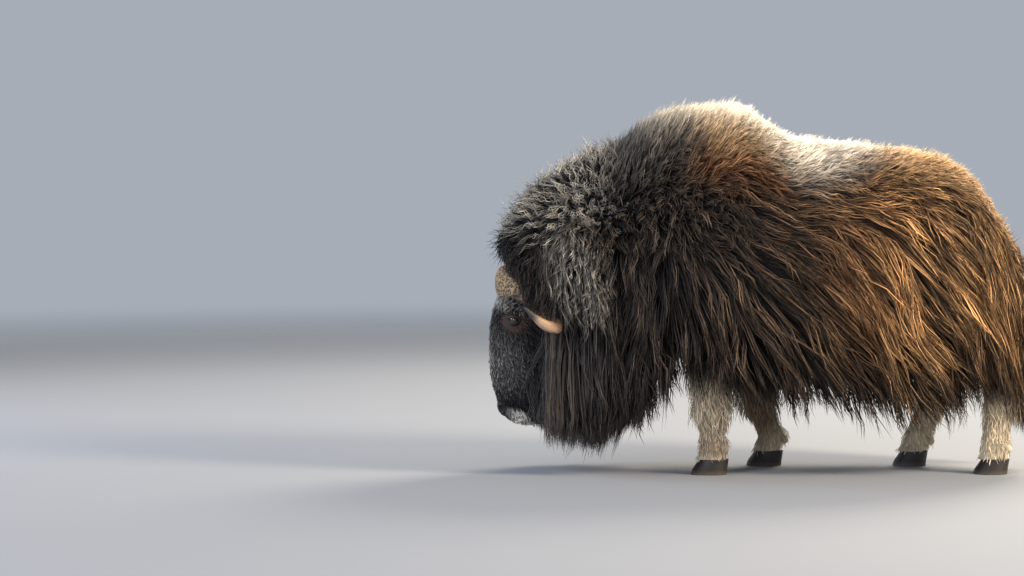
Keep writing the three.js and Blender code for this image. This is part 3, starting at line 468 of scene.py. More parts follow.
def add_tints(mesh, tints):
    """Writes the colours of a mesh's points as its attribute Tint."""
    whole = np.ones((len(mesh.vertices), 4), np.float32)
    whole[:, :3] = tints.reshape(-1, 3)
    mesh.attributes.new("Tint", "FLOAT_COLOR", "POINT").data.foreach_set("color", whole.ravel())


def tube_walls(rings, sides):
    """The triangles between the rings of a tube."""
    r, s = np.meshgrid(np.arange(rings - 1), np.arange(sides), indexing="ij")
    a = r * sides + s
    b = r * sides + (s + 1) % sides
    return np.stack([a, b, b + sides, a, b + sides, a + sides], -1).reshape(-1, 3)


def ring_faces(rings, sides):
    """The triangles of a tube of rings, closed by a fan at each end round two last points."""
    start, end, ring = rings * sides, rings * sides + 1, np.arange(sides)
    first = np.stack([ring, np.full(sides, start), (ring + 1) % sides], -1)
    last = (rings - 1) * sides + np.stack([ring, (ring + 1) % sides, 0 * ring], -1)
    last[:, 2] = end
    return np.concatenate([tube_walls(rings, sides), first, last])


def outward(points, faces):
    """The faces, turned round if they enclose a negative volume."""
    a, b, c = (points[faces[:, i]] for i in range(3))
    return faces if np.einsum("ij,ij->i", a, np.cross(b, c)).sum() > 0 else faces[:, [0, 2, 1]]


def closed_tube(rings):
    """Points and outward triangles of a tube through rings of shape (rings, sides, 3), closed by fans."""
    points = np.concatenate([rings.reshape(-1, 3), rings[0].mean(0)[None], rings[-1].mean(0)[None]])
    return points, outward(points, ring_faces(*rings.shape[:2]))


def ellipsoid(centre, halves, yaw=0.0, pitch=0.0, detail=(48, 32)):
    """An ellipsoid, turned about Y by pitch and about Z by yaw: sines and cosines of two angles."""
    h, a = np.meshgrid(np.linspace(0.02, math.pi - 0.02, detail[1]), circle(detail[0]), indexing="ij")
    ball = np.stack([np.sin(h) * np.cos(a), np.sin(h) * np.sin(a), np.cos(h)], -1) * np.array(halves)
    return closed_tube(ball @ turned(yaw, pitch).T + np.array(centre))


def turned(yaw, pitch):
    """The matrix that turns about Y by pitch and then about Z by yaw."""
    c, s = math.cos(pitch), math.sin(pitch)
    lean = np.array([[c, 0, s], [0, 1, 0], [-s, 0, c]])
    c, s = math.cos(yaw), math.sin(yaw)
    return np.array([[c, -s, 0], [s, c, 0], [0, 0, 1]]) @ lean


def trunk_surface():
    """The body from mane to rump: rings of two half superellipses, over and under the widest height."""
    rings, sides = 110, 96
    x = mix(CORE_FRONT, CORE_REAR, (1 - np.cos(np.linspace(0.03, math.pi - 0.03, rings))) / 2)[:, None]
    angle = circle(sides)[None]
    reach = np.where(np.cos(angle) > 0, core_top(x) - core_wide(x), core_wide(x) - core_bottom(x))
    y = np.maximum(core_half(x), 0.001) * power(np.sin(angle), SECTION_POWER)
    z = core_wide(x) + np.maximum(reach, 0.001) * power(np.cos(angle), SECTION_POWER)
    return closed_tube(np.stack([x + 0 * angle, y, z], -1))


def head_surface():
    """The head from lips to poll, as levels of head_point that lie closer over muzzle and eye."""
    spacing = curve([(0, HEAD_LOW), (0.12, 0.175), (0.5, 0.32), (0.8, 0.58), (1, HEAD_HIGH)])
    z = spacing(np.linspace(0, 1, 150))[:, None]
    turn = circle(120, 1)[None]
    return closed_tube(head_point(turn + 0 * z, z + 0 * turn))


def leg_surface(place):
    """A leg from its hooves into the body, as levels of leg_point."""
    z = np.linspace(place["rows"][0][0], place["rows"][-1][0], 70)[:, None]
    turn = circle(36, 1)[None]
    return closed_tube(leg_point(place, turn + 0 * z, z + 0 * turn))


def tail_rows(z):
    """The tail's middle, half length and half width at the height z."""
    heights, *rows = np.array(TAIL_ROWS).T
    return [curve(list(zip(heights, values)))(z) for values in rows]


def tail_point(angle, z):
    """A place on the tail's stump, whose levels are ellipses."""
    x, length, width = tail_rows(z)
    return np.stack([x + length * np.cos(angle), width * np.sin(angle), z + 0 * angle], -1)


def tail_surface():
    """The tail's stump, as levels of tail_point."""
    z = np.linspace(TAIL_ROWS[0][0], TAIL_ROWS[-1][0], 24)[:, None]
    return closed_tube(tail_point(circle(20)[None], z))


def ear_frame(side):
    """An ear's base, and its directions along, across and out of its cup."""
    along = unit(np.array(EAR["direction"]) * (1, side, 1))
    cup = unit(np.array([-1.0, 0, 0]) + along * along[0])
    return np.array(EAR["base"]) * (1, side, 1), along, np.cross(along, cup), cup


def ear_point(side, length, turn):
    """A place on an ear: length runs from its root, 0, to its tip, 1, and turn round it from the face of the
    cup. A leaf whose face is pressed in along its middle."""
    base, along, across, cup = ear_frame(side)
    swell = np.sqrt(np.maximum(1 - (2 * length - 1) ** 2, 0))
    angle = turn * 2 * math.pi
    face = np.cos(angle)
    hollow = np.where(face > 0, 1 - 1.25 * swell * smooth(0.15, 0.5, length), 1)
    reach = EAR["length"] * length - EAR["sunk"]
    wide = EAR["width"] / 2 * swell * np.sin(angle)
    thick = EAR["thick"] / 2 * swell * face * hollow
    return base + reach[..., None] * along + wide[..., None] * across + thick[..., None] * cup


def ear_surface(side):
    """One ear."""
    length = (1 - np.cos(np.linspace(0.08, math.pi - 0.08, 30)))[:, None] / 2
    turn = circle(32, 1)[None]
    return closed_tube(ear_point(side, length + 0 * turn, turn + 0 * length))


def eye_axis(side):
    """The way an eye looks."""
    return unit(np.array([-0.34, side * 0.94, 0.03]))


def eyelid_surface(side):
    """Both lids as one roll round the ball: a long, low ring, thickest in the middle of the upper lid."""
    steps, sides = 96, 20
    half_length, upper_height, lower_height, upper_roll, lower_roll = 0.0185, 0.0122, 0.0108, 0.0046, 0.0036
    a, b = circle(steps)[:, None], circle(sides)[None]
    axis = eye_axis(side)
    length = unit(np.cross(DOWN, axis))
    height = np.cross(axis, length) * np.sign(np.cross(axis, length)[2])
    upper = np.sin(a) > 0
    wide = half_length * np.cos(a)
    tall = np.where(upper, upper_height, lower_height) * power(np.sin(a), 0.85)
    out = np.sqrt(np.maximum((EYE_RADIUS + 0.0012) ** 2 - wide ** 2 - tall ** 2, 0)) * 0.92 + 0.0005
    centre = wide[..., None] * length + tall[..., None] * height + out[..., None] * axis
    roll = np.where(upper, upper_roll, lower_roll) * (0.72 + 0.28 * np.abs(np.sin(a)))
    radial = unit(wide[..., None] * length + tall[..., None] * height)
    ring = roll[..., None] * (np.cos(b)[..., None] * radial * 1.35 + np.sin(b)[..., None] * axis)
    points = (centre + ring + eye_centre(side)).reshape(-1, 3)
    faces = tube_walls(steps + 1, sides) % (steps * sides)
    return points, outward(points - eye_centre(side), faces)


def eye_centre(side):
    """The middle of an eyeball in the drawing."""
    return DRAWN_EYE * (1, -side, 1)


def boolean(base, parts, operation):
    """Applies one union or difference of a mesh object with a list of others, which are then removed."""
    group = bpy.data.collections.new("Parts")
    bpy.context.scene.collection.children.link(group)
    for part in parts:
        group.objects.link(part)
    step = base.modifiers.new("Join", "BOOLEAN")
    step.operation, step.solver = operation, "MANIFOLD"
    step.operand_type, step.collection = "COLLECTION", group
    bpy.context.view_layer.update()
    joined = bpy.data.meshes.new_from_object(base.evaluated_get(bpy.context.evaluated_depsgraph_get()))
    base.modifiers.clear()
    old, base.data = base.data, joined
    bpy.data.meshes.remove(old)
    for part in parts:
        bpy.data.objects.remove(part)
    bpy.data.collections.remove(group)
    if not len(joined.polygons):
        raise RuntimeError(f"{operation} left nothing of {base.name}")


def mesh_points(mesh):
    """A mesh's points in the drawing."""
    flat = np.empty(len(mesh.vertices) * 3, np.float32)
    mesh.vertices.foreach_get("co", flat)
    return flat.reshape(-1, 3).astype(float) - ORIGIN


# Markings

def patch(x, v, centre, size, edge):
    """How strongly a place lies in an oval of x and v: 1 inside, falling to 0 across its edge."""
    far = np.hypot((x - centre[0]) / size[0], (np.abs(v) - centre[1]) / size[1])
    return 1 - smooth(1 - edge, 1 + edge, far)


def over(under, top, share):
    """One colour laid over another by a share for each place."""
    return mix(under, top, np.asarray(share)[..., None])


def plain(group, name, x):
    """One colour of the settings for every place of x."""
    return shade(group, name) * np.ones(np.shape(x) + (1,))


def with_patches(tone, x, v, group, patches):
    """The tone with oval patches laid over it in turn."""
    for name, centre, size, edge, strength in patches:
        tone = over(tone, shade(group, name), patch(x, v, centre, size, edge) * strength)
    return tone


# Patches as colour, middle, half sizes, edge and strength: by x and v on the coat, and by x and height on
# face and legs. On the coat, the first rust patch brightens the hip under the stream of lit strands as
# painted sunlight on brown hair, and the tan on top of the rump and the cream on top of the hump are pale
# hair with painted rim light.
COAT_PATCHES = [
    ("rust", (0.36, 0.56), (0.13, 0.2), 0.8, 0.6), ("grey", (-0.46, 0.08), (0.25, 0.28), 0.5, 0.9),
    ("tan", (0.62, 0), (0.34, 0.21), 0.6, 0.9), ("rust", (-0.06, 0.335), (0.16, 0.065), 0.7, 0.85),
    ("frost", (-0.26, 0), (0.13, 0.17), 0.7, 0.75), ("tan", (-0.05, 0.16), (0.17, 0.12), 0.5, 0.75),
    ("cream", (-0.05, 0), (0.17, 0.17), 0.5, 0.95), ("saddle", (0.19, 0), (0.21, 0.275), 0.45, 0.95),
]
SHEEN_PATCHES = [
    ("frost", (-0.46, 0.05), (0.26, 0.24), 0.5, 0.7), ("sheen_gold", (-0.04, 0.28), (0.18, 0.12), 0.5, 0.7),
    ("saddle", (0.12, 0), (0.42, 0.2), 0.5, 0.9),
]
FACE_PATCHES = [("grey", (-0.925, 0.385), (0.095, 0.11), 0.6, 0.9),
                ("brow", (-0.865, 0.605), (0.065, 0.022), 0.7, 0.8)]
LEG_PATCHES = [("fetlock", (0.01, 0.24), (0.08, 0.13), 0.6, 0.8),
               ("fetlock", (-0.17, 0.1), (0.05, 0.035), 0.7, 0.6)]


def coat_tint(x, v):
    """The coat's colour by place on the body: its own colour, with painted rim light on the tops of hump and
    rump, painted sunlight on the hip and, by dim_of, painted shade low on the hind quarters.
    """
    low = smooth(0.56, 0.82, v)
    tone = over(plain("coat", "black", x), shade("coat", "dark"), smooth(-0.45, -0.05, x) * (1 - 0.4 * low))
    tone = over(tone, shade("coat", "brown"), smooth(-0.05, 0.5, x) * (1 - 0.75 * low))
    tone = over(tone, shade("coat", "umber"), smooth(0.4, 0.95, x) * (1 - 0.8 * low))
    return with_patches(tone, x, v, "coat", COAT_PATCHES) * dim_of(x, v)


def sheen_tint(x, v):
    """The colour of lit strands: dark on the neck, golden towards the rump and pale on the back."""
    tone = over(plain("coat", "sheen_dark", x), shade("coat", "sheen_brown"), smooth(-0.4, 0.1, x))
    tone = over(tone, shade("coat", "sheen_gold"), smooth(0.02, 0.5, x) * (1 - 0.7 * smooth(0.64, 0.95, v)))
    return with_patches(tone, x, v, "coat", SHEEN_PATCHES) * dim_of(x, v)


def dim_of(x, v):
    """How dark the coat grows low on the hind quarters, where the hair above shades it."""
    return (1 - 0.34 * smooth(0.6, 0.84, v) * smooth(0.05, 0.45, x))[..., None]


def gleam_of(x, v):
    """How many strands catch the light: few on shoulder and hem, most in a stream down the hip."""
    share = 0.6 + 0.5 * smooth(-0.1, 0.35, x)
    stream = patch(x - 0.12 * (v - 0.55), v, (0.38, 0.56), (0.1, 0.19), 0.8)
    return share * (1 - 0.85 * smooth(0.58, 0.84, v)) + 1.4 * stream


def temple_patch(x, z, size):
    """How strongly a place lies in the pale patch of the mane behind the horn."""
    return patch(x + 0.25 * (z - 0.68), z, (-0.645, 0.68), size, 0.6)


def neck_tint(x, z):
    """The colour of the mane and the neck's sides, by place in the side view."""
    greyer = patch(x, z, (-0.7, 0.33), (0.13, 0.24), 0.6) * 0.22
    tone = over(plain("coat", "black", x), shade("face", "grey"), greyer)
    pale = mix(shade("coat", "grey"), shade("coat", "frost"), 0.34)
    return over(tone, pale, temple_patch(x, z, (0.085, 0.17)))


def neck_sheen(x, z):
    """The colour of the lit strands of mane and neck: frosted beside the horns and brown below."""
    frosted = temple_patch(x, z, (0.095, 0.18)) * 0.55
    return over(plain("coat", "sheen_dark", x), shade("coat", "frost"), frosted)


def head_inside(points):
    """The places on the head's own axis level with the points."""
    level = points[..., 2]
    return np.stack([mix(face_line(level), nape_line(level), 0.5), 0 * level, level], -1)


def mouth_height(x):
    """The height of the line between the lips."""
    return 0.205 + (x + 0.8) * 0.37


MOUTH_CORNER = -0.832
# The upper edge of the pale lips and chin by x, and the foremost x of the bonnet's hair by height.
pale_top = curve([(-0.9, 0.224), (-0.88, 0.22), (-0.84, 0.213), (-0.81, 0.19), (-0.76, 0.165)])
bonnet_edge = curve([(0.66, -0.852), (0.698, -0.868), (0.728, -0.888), (0.77, -0.894), (0.805, -0.892),
                     (0.892, -0.868), (0.959, -0.822), (1.008, -0.763), (1.1, -0.6)])


def face_tint(points):
    """The face's colour: black, with a grey middle and brow, rusty round the eye and pale at the lips, and a
    dark line of painted shade along the mouth.
    """
    x, y, z = np.moveaxis(points, -1, 0)
    bare = shade("face", "nose")
    tone = with_patches(plain("face", "black", x), x, z, "face", FACE_PATCHES)
    eye = np.linalg.norm(np.stack([x, np.abs(y), z], -1) - eye_centre(RIGHT), axis=-1)
    tone = over(tone, shade("face", "rust"), (1 - smooth(0.028, 0.07, eye)) * 0.7)
    tone = over(tone, bare, (1 - smooth(0.018, 0.029, eye)) * 0.75)
    tone = over(tone, bare, patch(x, z, (-0.85, 0.25), (0.1, 0.045), 0.5) * 0.85)
    pale = (1 - smooth(-0.009, 0.009, z - pale_top(x))) * smooth(-0.898, -0.88, x)
    pale = pale * mix(0.25 * smooth(0.03, 0.056, np.abs(y)), 1, smooth(-0.895, -0.84, x))
    tone = over(tone, shade("face", "lip"), pale * (1 - 0.85 * smooth(-0.81, -0.75, x)))
    # Painted shade of the gap between the lips: a dark line along the mouth, in the nose's colour.
    mouth_shade = (1 - smooth(0.0015, 0.005, np.abs(z - mouth_height(x)))) * (1 - smooth(-0.836, -0.822, x))
    return over(over(tone, bare, mouth_shade * 0.8), bare, nose_mask(points))


def nose_mask(points):
    """How bare and dark the skin is: 1 on the pad round the nostrils."""
    spot = (points * (1, 0, 1)) - (NOSTRIL * (1, 0, 1)) + (0.006, 0, 0.0)
    far = np.hypot(spot[..., 0] / 0.024, spot[..., 2] / 0.031)
    return (1 - smooth(0.75, 1.15, far)) * (1 - smooth(0.05, 0.062, np.abs(points[..., 1])))


def leg_tint(points):
    """The lower legs' colour: straw, umber at the knees and fetlocks, and darker up inside the coat."""
    x, y, z = np.moveaxis(points, -1, 0)
    blot = np.sin(x * 61 + 1.3 * np.sin(z * 43)) * np.sin(z * 57 + y * 39) * 0.5 + 0.5
    tone = over(plain("coat", "straw", x), shade("coat", "fetlock"), blot * 0.4)
    tone = with_patches(tone, x, z, "coat", LEG_PATCHES)
    rise = z - 0.08 * smooth(0.25, 0.45, -x + 0.25)
    return over(tone, shade("coat", "dark"), smooth(0.24, 0.34, rise))


def fall_of(x, z):
    """The v at which the body's side view shows a height z."""
    share = np.clip((z - core_wide(x)) / np.maximum(core_top(x) - core_wide(x), 0.01), 0, 1)
    upper = np.arccos(share ** (1 / SECTION_POWER)) / (math.pi / 2) * FREE_FALL
    lower = FREE_FALL + (1 - FREE_FALL) * np.clip((core_wide(x) - z) / (core_wide(x) - belly_hem(x)), 0, 1)
    return np.where(z > core_wide(x), upper, lower)


def body_tint(points):
    """The colour anywhere on the skin, from the markings of head, legs, neck and coat."""
    x, _, z = np.moveaxis(points, -1, 0)
    coat = coat_tint(x, fall_of(x, z)) * 0.55
    coat = over(coat, neck_tint(x, z) * 0.7, 1 - smooth(-0.56, -0.42, x))
    on_leg = (1 - smooth(0.36, 0.42, z)) * (x > -0.35)
    on_head = (1 - smooth(-0.76, -0.72, x)) * (1 - smooth(0.66, 0.7, z))
    return over(over(coat, leg_tint(points) * 0.8, on_leg), face_tint(points), on_head)


# Tufts

def spread(count, start):
    """Even, unordered places in a square: multiples of two irrational steps, less their whole parts."""
    n = np.arange(count)
    return np.stack([(start + n * 0.7548776662466927) % 1, (start + n * 0.5698402909980532) % 1], -1)


def sown(count, start=0.5):
    """Even places for the share of count tufts that is set."""
    return spread(int(count * settings().sizes.share), start)


strand_width = curve([(0, 0.8), (0.25, 1.0), (0.65, 0.78), (0.88, 0.42), (1, 0.1)])
STRAND_SIDES = 3
STRAND_FLATNESS = 0.5  # height of a strand as a share of its width
BAKE_PATCH = 0.003  # size of a strand's place in the map for baking
MOST_TRIANGLES = 200000


def strand_faces(rings):
    """The triangles of one strand of three-cornered rings with a root cap and a point."""
    base = (rings - 1) * STRAND_SIDES
    tip = [(base + c, base + (c + 1) % STRAND_SIDES, rings * STRAND_SIDES) for c in range(STRAND_SIDES)]
    return np.concatenate([tube_walls(rings, STRAND_SIDES), np.array(tip), np.array([[0, 2, 1]])])


def tuft_piece(name, paths, normals, widths, roots_uv, tint_root, tint_tip, pale_from=(0.1, 0.95)):
    """One piece of coat from arrays of strands, whatever their leading dimensions. Each path of rings + 1
    points carries a flat triangle, widest near its root, that turns with the path and faces along its
    normal. The last point is the tip."""
    rings = paths.shape[-2] - 1
    paths, normals = paths.reshape(-1, rings + 1, 3), normals.reshape(-1, rings + 1, 3)
    widths, roots_uv = widths.ravel(), roots_uv.reshape(-1, 2)
    tint_root, tint_tip = tint_root.reshape(-1, 1, 3), tint_tip.reshape(-1, 1, 3)
    count = len(paths)
    share = np.linspace(0, 1, rings + 1)
    tangents = np.gradient(paths, axis=1)
    across = unit(np.cross(tangents, normals))
    out = unit(np.cross(across, tangents))
    width = (widths[:, None] * strand_width(share))[..., None]
    height = width * STRAND_FLATNESS
    corners = np.stack([
        paths + across * width / 2 - out * height / 3, paths + out * height * 2 / 3,
        paths - across * width / 2 - out * height / 3,
    ], 2)[:, :rings].reshape(count, rings * STRAND_SIDES, 3)
    points = np.concatenate([corners, paths[:, -1:]], 1)
    template = strand_faces(rings)
    per = rings * STRAND_SIDES + 1
    faces = template[None] + (np.arange(count) * per)[:, None, None]
    faces = outward(points.reshape(-1, 3) - points.reshape(-1, 3).mean(0), faces.reshape(-1, 3))
    along = np.append(np.repeat(share[:rings], STRAND_SIDES), 1.0)
    side = np.append(np.tile([0.0, 0.5, 1.0], rings), 0.5)
    low, high = roots_uv.min(0), roots_uv.max(0)
    corner_uv = (roots_uv - low) / (high - low + 1e-9) * (1 - 2 * BAKE_PATCH) + BAKE_PATCH / 2
    bake = corner_uv[:, None] + np.stack([side, along], -1)[None] * BAKE_PATCH
    lengths = np.linalg.norm(np.diff(paths, axis=1), axis=-1).sum(1)
    own = (np.arange(count) * 0.6180339887498949 % 1 * 40)[:, None]
    grain = np.stack([own + side[None] * (widths[:, None] * 380), along[None] * (lengths[:, None] * 22)], -1)
    rise = smooth(*pale_from, along)[None, :, None]
    if len(faces) >= MOST_TRIANGLES:
        raise RuntimeError(f"{name} has {len(faces)} triangles")
    return set_mesh(name, points, faces, mix(tint_root, tint_tip, rise),
                    {"OFBake": bake.reshape(-1, 2), "Grain": grain.reshape(-1, 2)})


class Draw:
    """A seeded source of random arrays for one piece."""

    def __init__(self, name):
        self.numbers = np.random.default_rng([settings().sizes.seed, *name.encode()])

    def vary(self, shape, amount):
        """Even numbers from -amount to amount."""
        return self.numbers.uniform(-amount, amount, shape)

    def share(self, shape):
        """Even numbers from 0 to 1."""
        return self.numbers.uniform(0, 1, shape)

    def bell(self, shape, amount):
        """Bell-shaped numbers of the given spread, cut at two spreads."""
        return np.clip(self.numbers.normal(0, 1, shape), -2, 2) * amount


def walk(x, v, lengths, turn, rings, side, hem, limit):
    """Lines that start at x and v and follow the coat's lie for their length. Each step moves by its
    direction over the slopes of the surface there, and a line that would pass the hem, the nose or the
    rump's end is shortened to reach it."""
    lengths = lengths.copy()
    front, rear = COAT_FRONT + 0.004, COAT_REAR - 0.028
    for _ in range(3):
        xs, vs = [x], [v]
        for _ in range(rings):
            here_x, here_v = xs[-1], vs[-1]
            along, fall = coat_slopes(here_x, here_v, side, hem)
            angle = np.radians(turn(here_x, here_v))
            pace = lengths / rings
            xs.append(here_x + pace * np.cos(angle) / np.linalg.norm(along, axis=-1))
            vs.append(here_v + pace * np.sin(angle) / np.maximum(np.linalg.norm(fall, axis=-1), LEAST_FALL))
        over_v = (limit - v) / np.maximum(vs[-1] - v, 1e-6)
        over_x = (rear - x) / np.maximum(xs[-1] - x, 1e-6)
        under_x = (x - front) / np.maximum(x - xs[-1], 1e-6)
        ease = np.where(vs[-1] > limit, over_v, 1)
        ease = np.minimum(ease, np.where(xs[-1] > rear, over_x, 1))
        ease = np.minimum(ease, np.where(xs[-1] < front, under_x, 1))
        lengths *= np.clip(ease, 0.05, 1)
    return np.clip(np.stack(xs, 1), COAT_FRONT, COAT_REAR), np.stack(vs, 1)


def coat_roots(count, window, side, hem, start):
    """Root places spread evenly over the part of the coat in a window of x and v."""
    (x0, x1), (v0, v1) = window
    tries = spread(int(count * 2.6) + 8, start)
    x, v = mix(x0, x1, tries[:, 0]), mix(v0, v1, tries[:, 1])
    along, fall = coat_slopes(x, v, side, hem)
    area = np.linalg.norm(np.cross(along, fall), axis=-1)
    keep = np.random.default_rng(len(x)).uniform(0, 1, len(x)) < area / np.percentile(area, 96)
    return x[keep][:count], v[keep][:count]


def wander(x, v):
    """A slow turn of the lie, in degrees, that gathers neighbouring locks into streams."""
    return 8 * np.sin(21 * x + 6 * v) + 6 * np.sin(37 * x - 19 * v + 1) + 5 * np.sin(9 * x + 31 * v + 2)


ROOT_DEPTH = -0.16  # depth under the body's surface at which the long coat's strands begin
MOST_LEAN = 42  # degrees by which a lock may turn out of the lie


def grow_coat(name, window, count, rings, sides=(LEFT, RIGHT), per_clump=6, clump=None, width=None,
              hem=belly_hem, lie=coat_lie, length=coat_length, tone=coat_tint, sheen=sheen_tint,
              deep=(0.45, 1.0), rise=1.8, reach=1.0, ragged=0.03, jitter=6.0, wisp=0.12,
              pull=0.38, wave=0.01, waves=1.4, gleam=1.0, root_light=0.46, uneven=(0.16, 0.42)):
    """A piece of coat. Locks follow the lie over the body from roots in the window, and each holds some
    strands that draw together towards its tip and bend in a slow wave. Deeper strands and the roots are
    darker, as painted shade of the hair over them, and a few strands catch the light as painted highlights.
    The depth goes with 1 - (1 - share)^rise, so a rise near 1 stands off the body and a larger one lies
    along it. One lock in seven strays to the side and ends further out by wisp."""
    draw, sizes = Draw(name), settings().sizes
    width, clump = width or sizes.strand, clump or sizes.clump
    total, k = int(count * sizes.share), per_clump
    share = np.linspace(0, 1, rings + 1)[None, None]
    near, far = round(rings * 0.3), round(rings * 0.85)
    gathered = []
    for side in sides:
        x, v = coat_roots(total // len(sides) // k, window, side, hem, 0.31 + 0.17 * side)
        m = len(x)
        parting = np.exp(-((np.abs(v) - 0.4) / 0.05) ** 2) * (1 - smooth(-0.32, -0.2, x))
        stray = np.where(draw.share(m) > 0.85, 2.4, 1)
        lean = np.clip(draw.bell(m, jitter) * (1 + 3 * parting) * stray, -MOST_LEAN, MOST_LEAN)
        lengths = length(x, v) * (1 + draw.vary(m, 0.18)) * reach
        limit = 1 + draw.vary(m, ragged) - 0.01
        xs, vs = walk(x, v, lengths, lambda a, b: lie(a, b) + wander(a, b) + lean, rings, side, hem, limit)
        along, fall = coat_slopes(x, v, side, hem)
        turn, far_out = draw.share((m, k)) * 2 * math.pi, np.sqrt(draw.share((m, k))) * clump
        fall_size = np.maximum(np.linalg.norm(fall, axis=-1), LEAST_FALL)
        off_x = (far_out * np.cos(turn) / np.linalg.norm(along, axis=-1)[:, None])[..., None]
        off_v = (far_out * np.sin(turn) / fall_size[:, None])[..., None]
        gather = 1 - pull * smooth(0, 1, share) * (0.75 + 0.5 * draw.share((m, k, 1)))
        part = 1 - 0.3 * draw.share((m, k, 1))
        phase = draw.share((m, 1, 1)) + draw.vary((m, k, 1), 0.15)
        bends = share * waves * (0.8 + 0.4 * draw.share((m, 1, 1)))
        sway = wave * share * np.sin(2 * math.pi * (bends + phase))
        flow = np.radians(lie(xs, vs))[:, None]
        line_x, line_v = (xs - x[:, None])[:, None] * part, (vs - v[:, None])[:, None] * part
        strand_x = x[:, None, None] + line_x + off_x * gather - sway * np.sin(flow)
        strand_v = v[:, None, None] + line_v + off_v * gather + sway * np.cos(flow) / 1.3
        strand_x = np.clip(strand_x, COAT_FRONT + 0.002, COAT_REAR - 0.024)
        tip_depth = mix(deep[0], deep[1], draw.share(m) ** 0.7)[:, None] * (1 + draw.vary((m, k), 0.08))
        loose = (wisp * (stray > 1))[:, None, None]
        depth = mix(ROOT_DEPTH, tip_depth[..., None], 1 - (1 - share) ** rise)
        depth = np.minimum(depth, max(deep[1], 1.03)) + loose * share ** 2
        points = coat_point(strand_x, strand_v, depth, side, hem)
        a, f = coat_slopes(strand_x, np.minimum(strand_v, 1), side, hem)
        normals = unit(np.cross(a, f)) * side
        # Painted shade: strands whose tips lie deeper in the coat are darker.
        light = mix(0.45, 1.1, smooth(deep[0], deep[1], tip_depth))
        light = (light * np.exp(draw.bell((m, 1), uneven[0]) + draw.bell((m, k), uneven[1])))[..., None]
        lit = 0.35 * draw.share((m, 1)) ** 3 + 0.9 * draw.share((m, k)) ** 3.5
        lit = gleam * gleam_of(x, v)[:, None] * lit
        tones = []
        # The roots take root_light as painted shade under the hair, and lit strands take the sheen as
        # painted highlights.
        for ring, brighter, strength in ((near, 0.5, root_light), (far, 1.0, 1.2)):
            place = strand_x[..., ring], strand_v[..., ring]
            tones.append(over(tone(*place), sheen(*place), np.clip(lit * brighter, 0, 1)) * light * strength)
        root_uv = np.stack([strand_x[..., 0], 0.5 + side * strand_v[..., 0] / 2], -1)
        gathered.append((points, normals, width * (1 + draw.vary((m, k), 0.35)), root_uv, *tones))
    return tuft_piece(name, *(np.concatenate(parts) for parts in zip(*gathered)))


def grow_tufts(name, points, normals, flow, lengths, roots_uv, tone, tips=None, *, lift, jitter, rings=3,
               per_clump=1, clump=0.006, width=None, pull=0.6, crimp=0.0, crimps=3.0, curl=0.75, droop=0.0,
               edge=None, fuzz=0.0, root_light=0.6, light_vary=0.18, pale=0.5, pale_from=(0.1, 0.95)):
    """A piece of short coat. Each tuft leaves its root along the flow, lifted off the skin, and bends back
    to lie along it: root + length (t cos + (t - curl t^2) sin). crimp bends it in quick waves towards its
    tip, edge gives the smallest x by height, and a few strands stand out by up to fuzz."""
    draw = Draw(name)
    count, k = len(points), per_clump
    flow = unit(flow - normals * np.sum(flow * normals, -1, keepdims=True))
    across = np.cross(normals, flow)
    flow = unit(flow + across * draw.bell((count, 1), jitter))
    across = np.cross(normals, flow)
    share = np.linspace(0, 1, rings + 1)[None, None, :, None]
    rise = np.radians(lift * (1 + draw.vary((count, 1), 0.35)))[:, None, None]
    reach = (lengths * (1 + draw.vary(count, 0.2)))[:, None, None, None]
    reach = reach * (1 - 0.3 * draw.share((count, k, 1, 1)))
    path = reach * (share * np.cos(rise) * flow[:, None, None] + (share - curl * share ** 2) * np.sin(rise)
                    * normals[:, None, None] * 1.6 + droop * share ** 2 * DOWN)
    turn, far = draw.share((count, k)) * 2 * math.pi, np.sqrt(draw.share((count, k))) * clump * (k > 1)
    ahead, aside = (far * np.cos(turn))[..., None], (far * np.sin(turn))[..., None]
    offset = ahead * flow[:, None] + aside * across[:, None]
    gather = 1 - pull * smooth(0, 1, share)
    phase = draw.share((count, 1, 1, 1)) + draw.vary((count, k, 1, 1), 0.1)
    wave = crimp * smooth(0.1, 0.7, share) * np.sin(2 * math.pi * (share * crimps + phase))
    sunk = -0.0015 * normals[:, None, None] * (1 - share)
    paths = points[:, None, None] + path + offset[:, :, None] * gather + wave * across[:, None, None] + sunk
    if edge is not None:
        near = 0.024
        ahead = paths[..., 0] - edge(paths[..., 2]) + draw.bell((count, k, 1), 0.006)
        outermost = near * draw.share((count, k, 1)) ** 2.5
        kept = 0.03 * np.exp(np.minimum(ahead - near, 0) / 0.04) - 0.006 - outermost
        paths[..., 0] = np.where(ahead < near, edge(paths[..., 2]) + kept, paths[..., 0])
    loose = fuzz * draw.share((count, k, 1, 1)) ** 4
    paths = paths + loose * share ** 2 * (normals[:, None, None] + draw.bell((count, k, 1, 3), 0.4))
    whole = np.broadcast_to(normals[:, None, None], paths.shape)
    light = (1 + draw.bell((count, 1), light_vary)) * (1 + draw.bell((count, k), light_vary * 0.6))
    light = light[..., None]
    own = tone[:, None] * light
    ends = own * 1.3 if tips is None else mix(own, tips[:, None], draw.share((count, k, 1)) ** pale) * light
    widths = (width or settings().sizes.fine) * (1 + draw.vary((count, k), 0.3))
    places = roots_uv[:, None] + offset[..., :2] * 0.2
    # The roots are darkened by root_light as painted shade under the hair.
    return tuft_piece(name, paths, whole, widths, places, own * root_light, ends, pale_from)


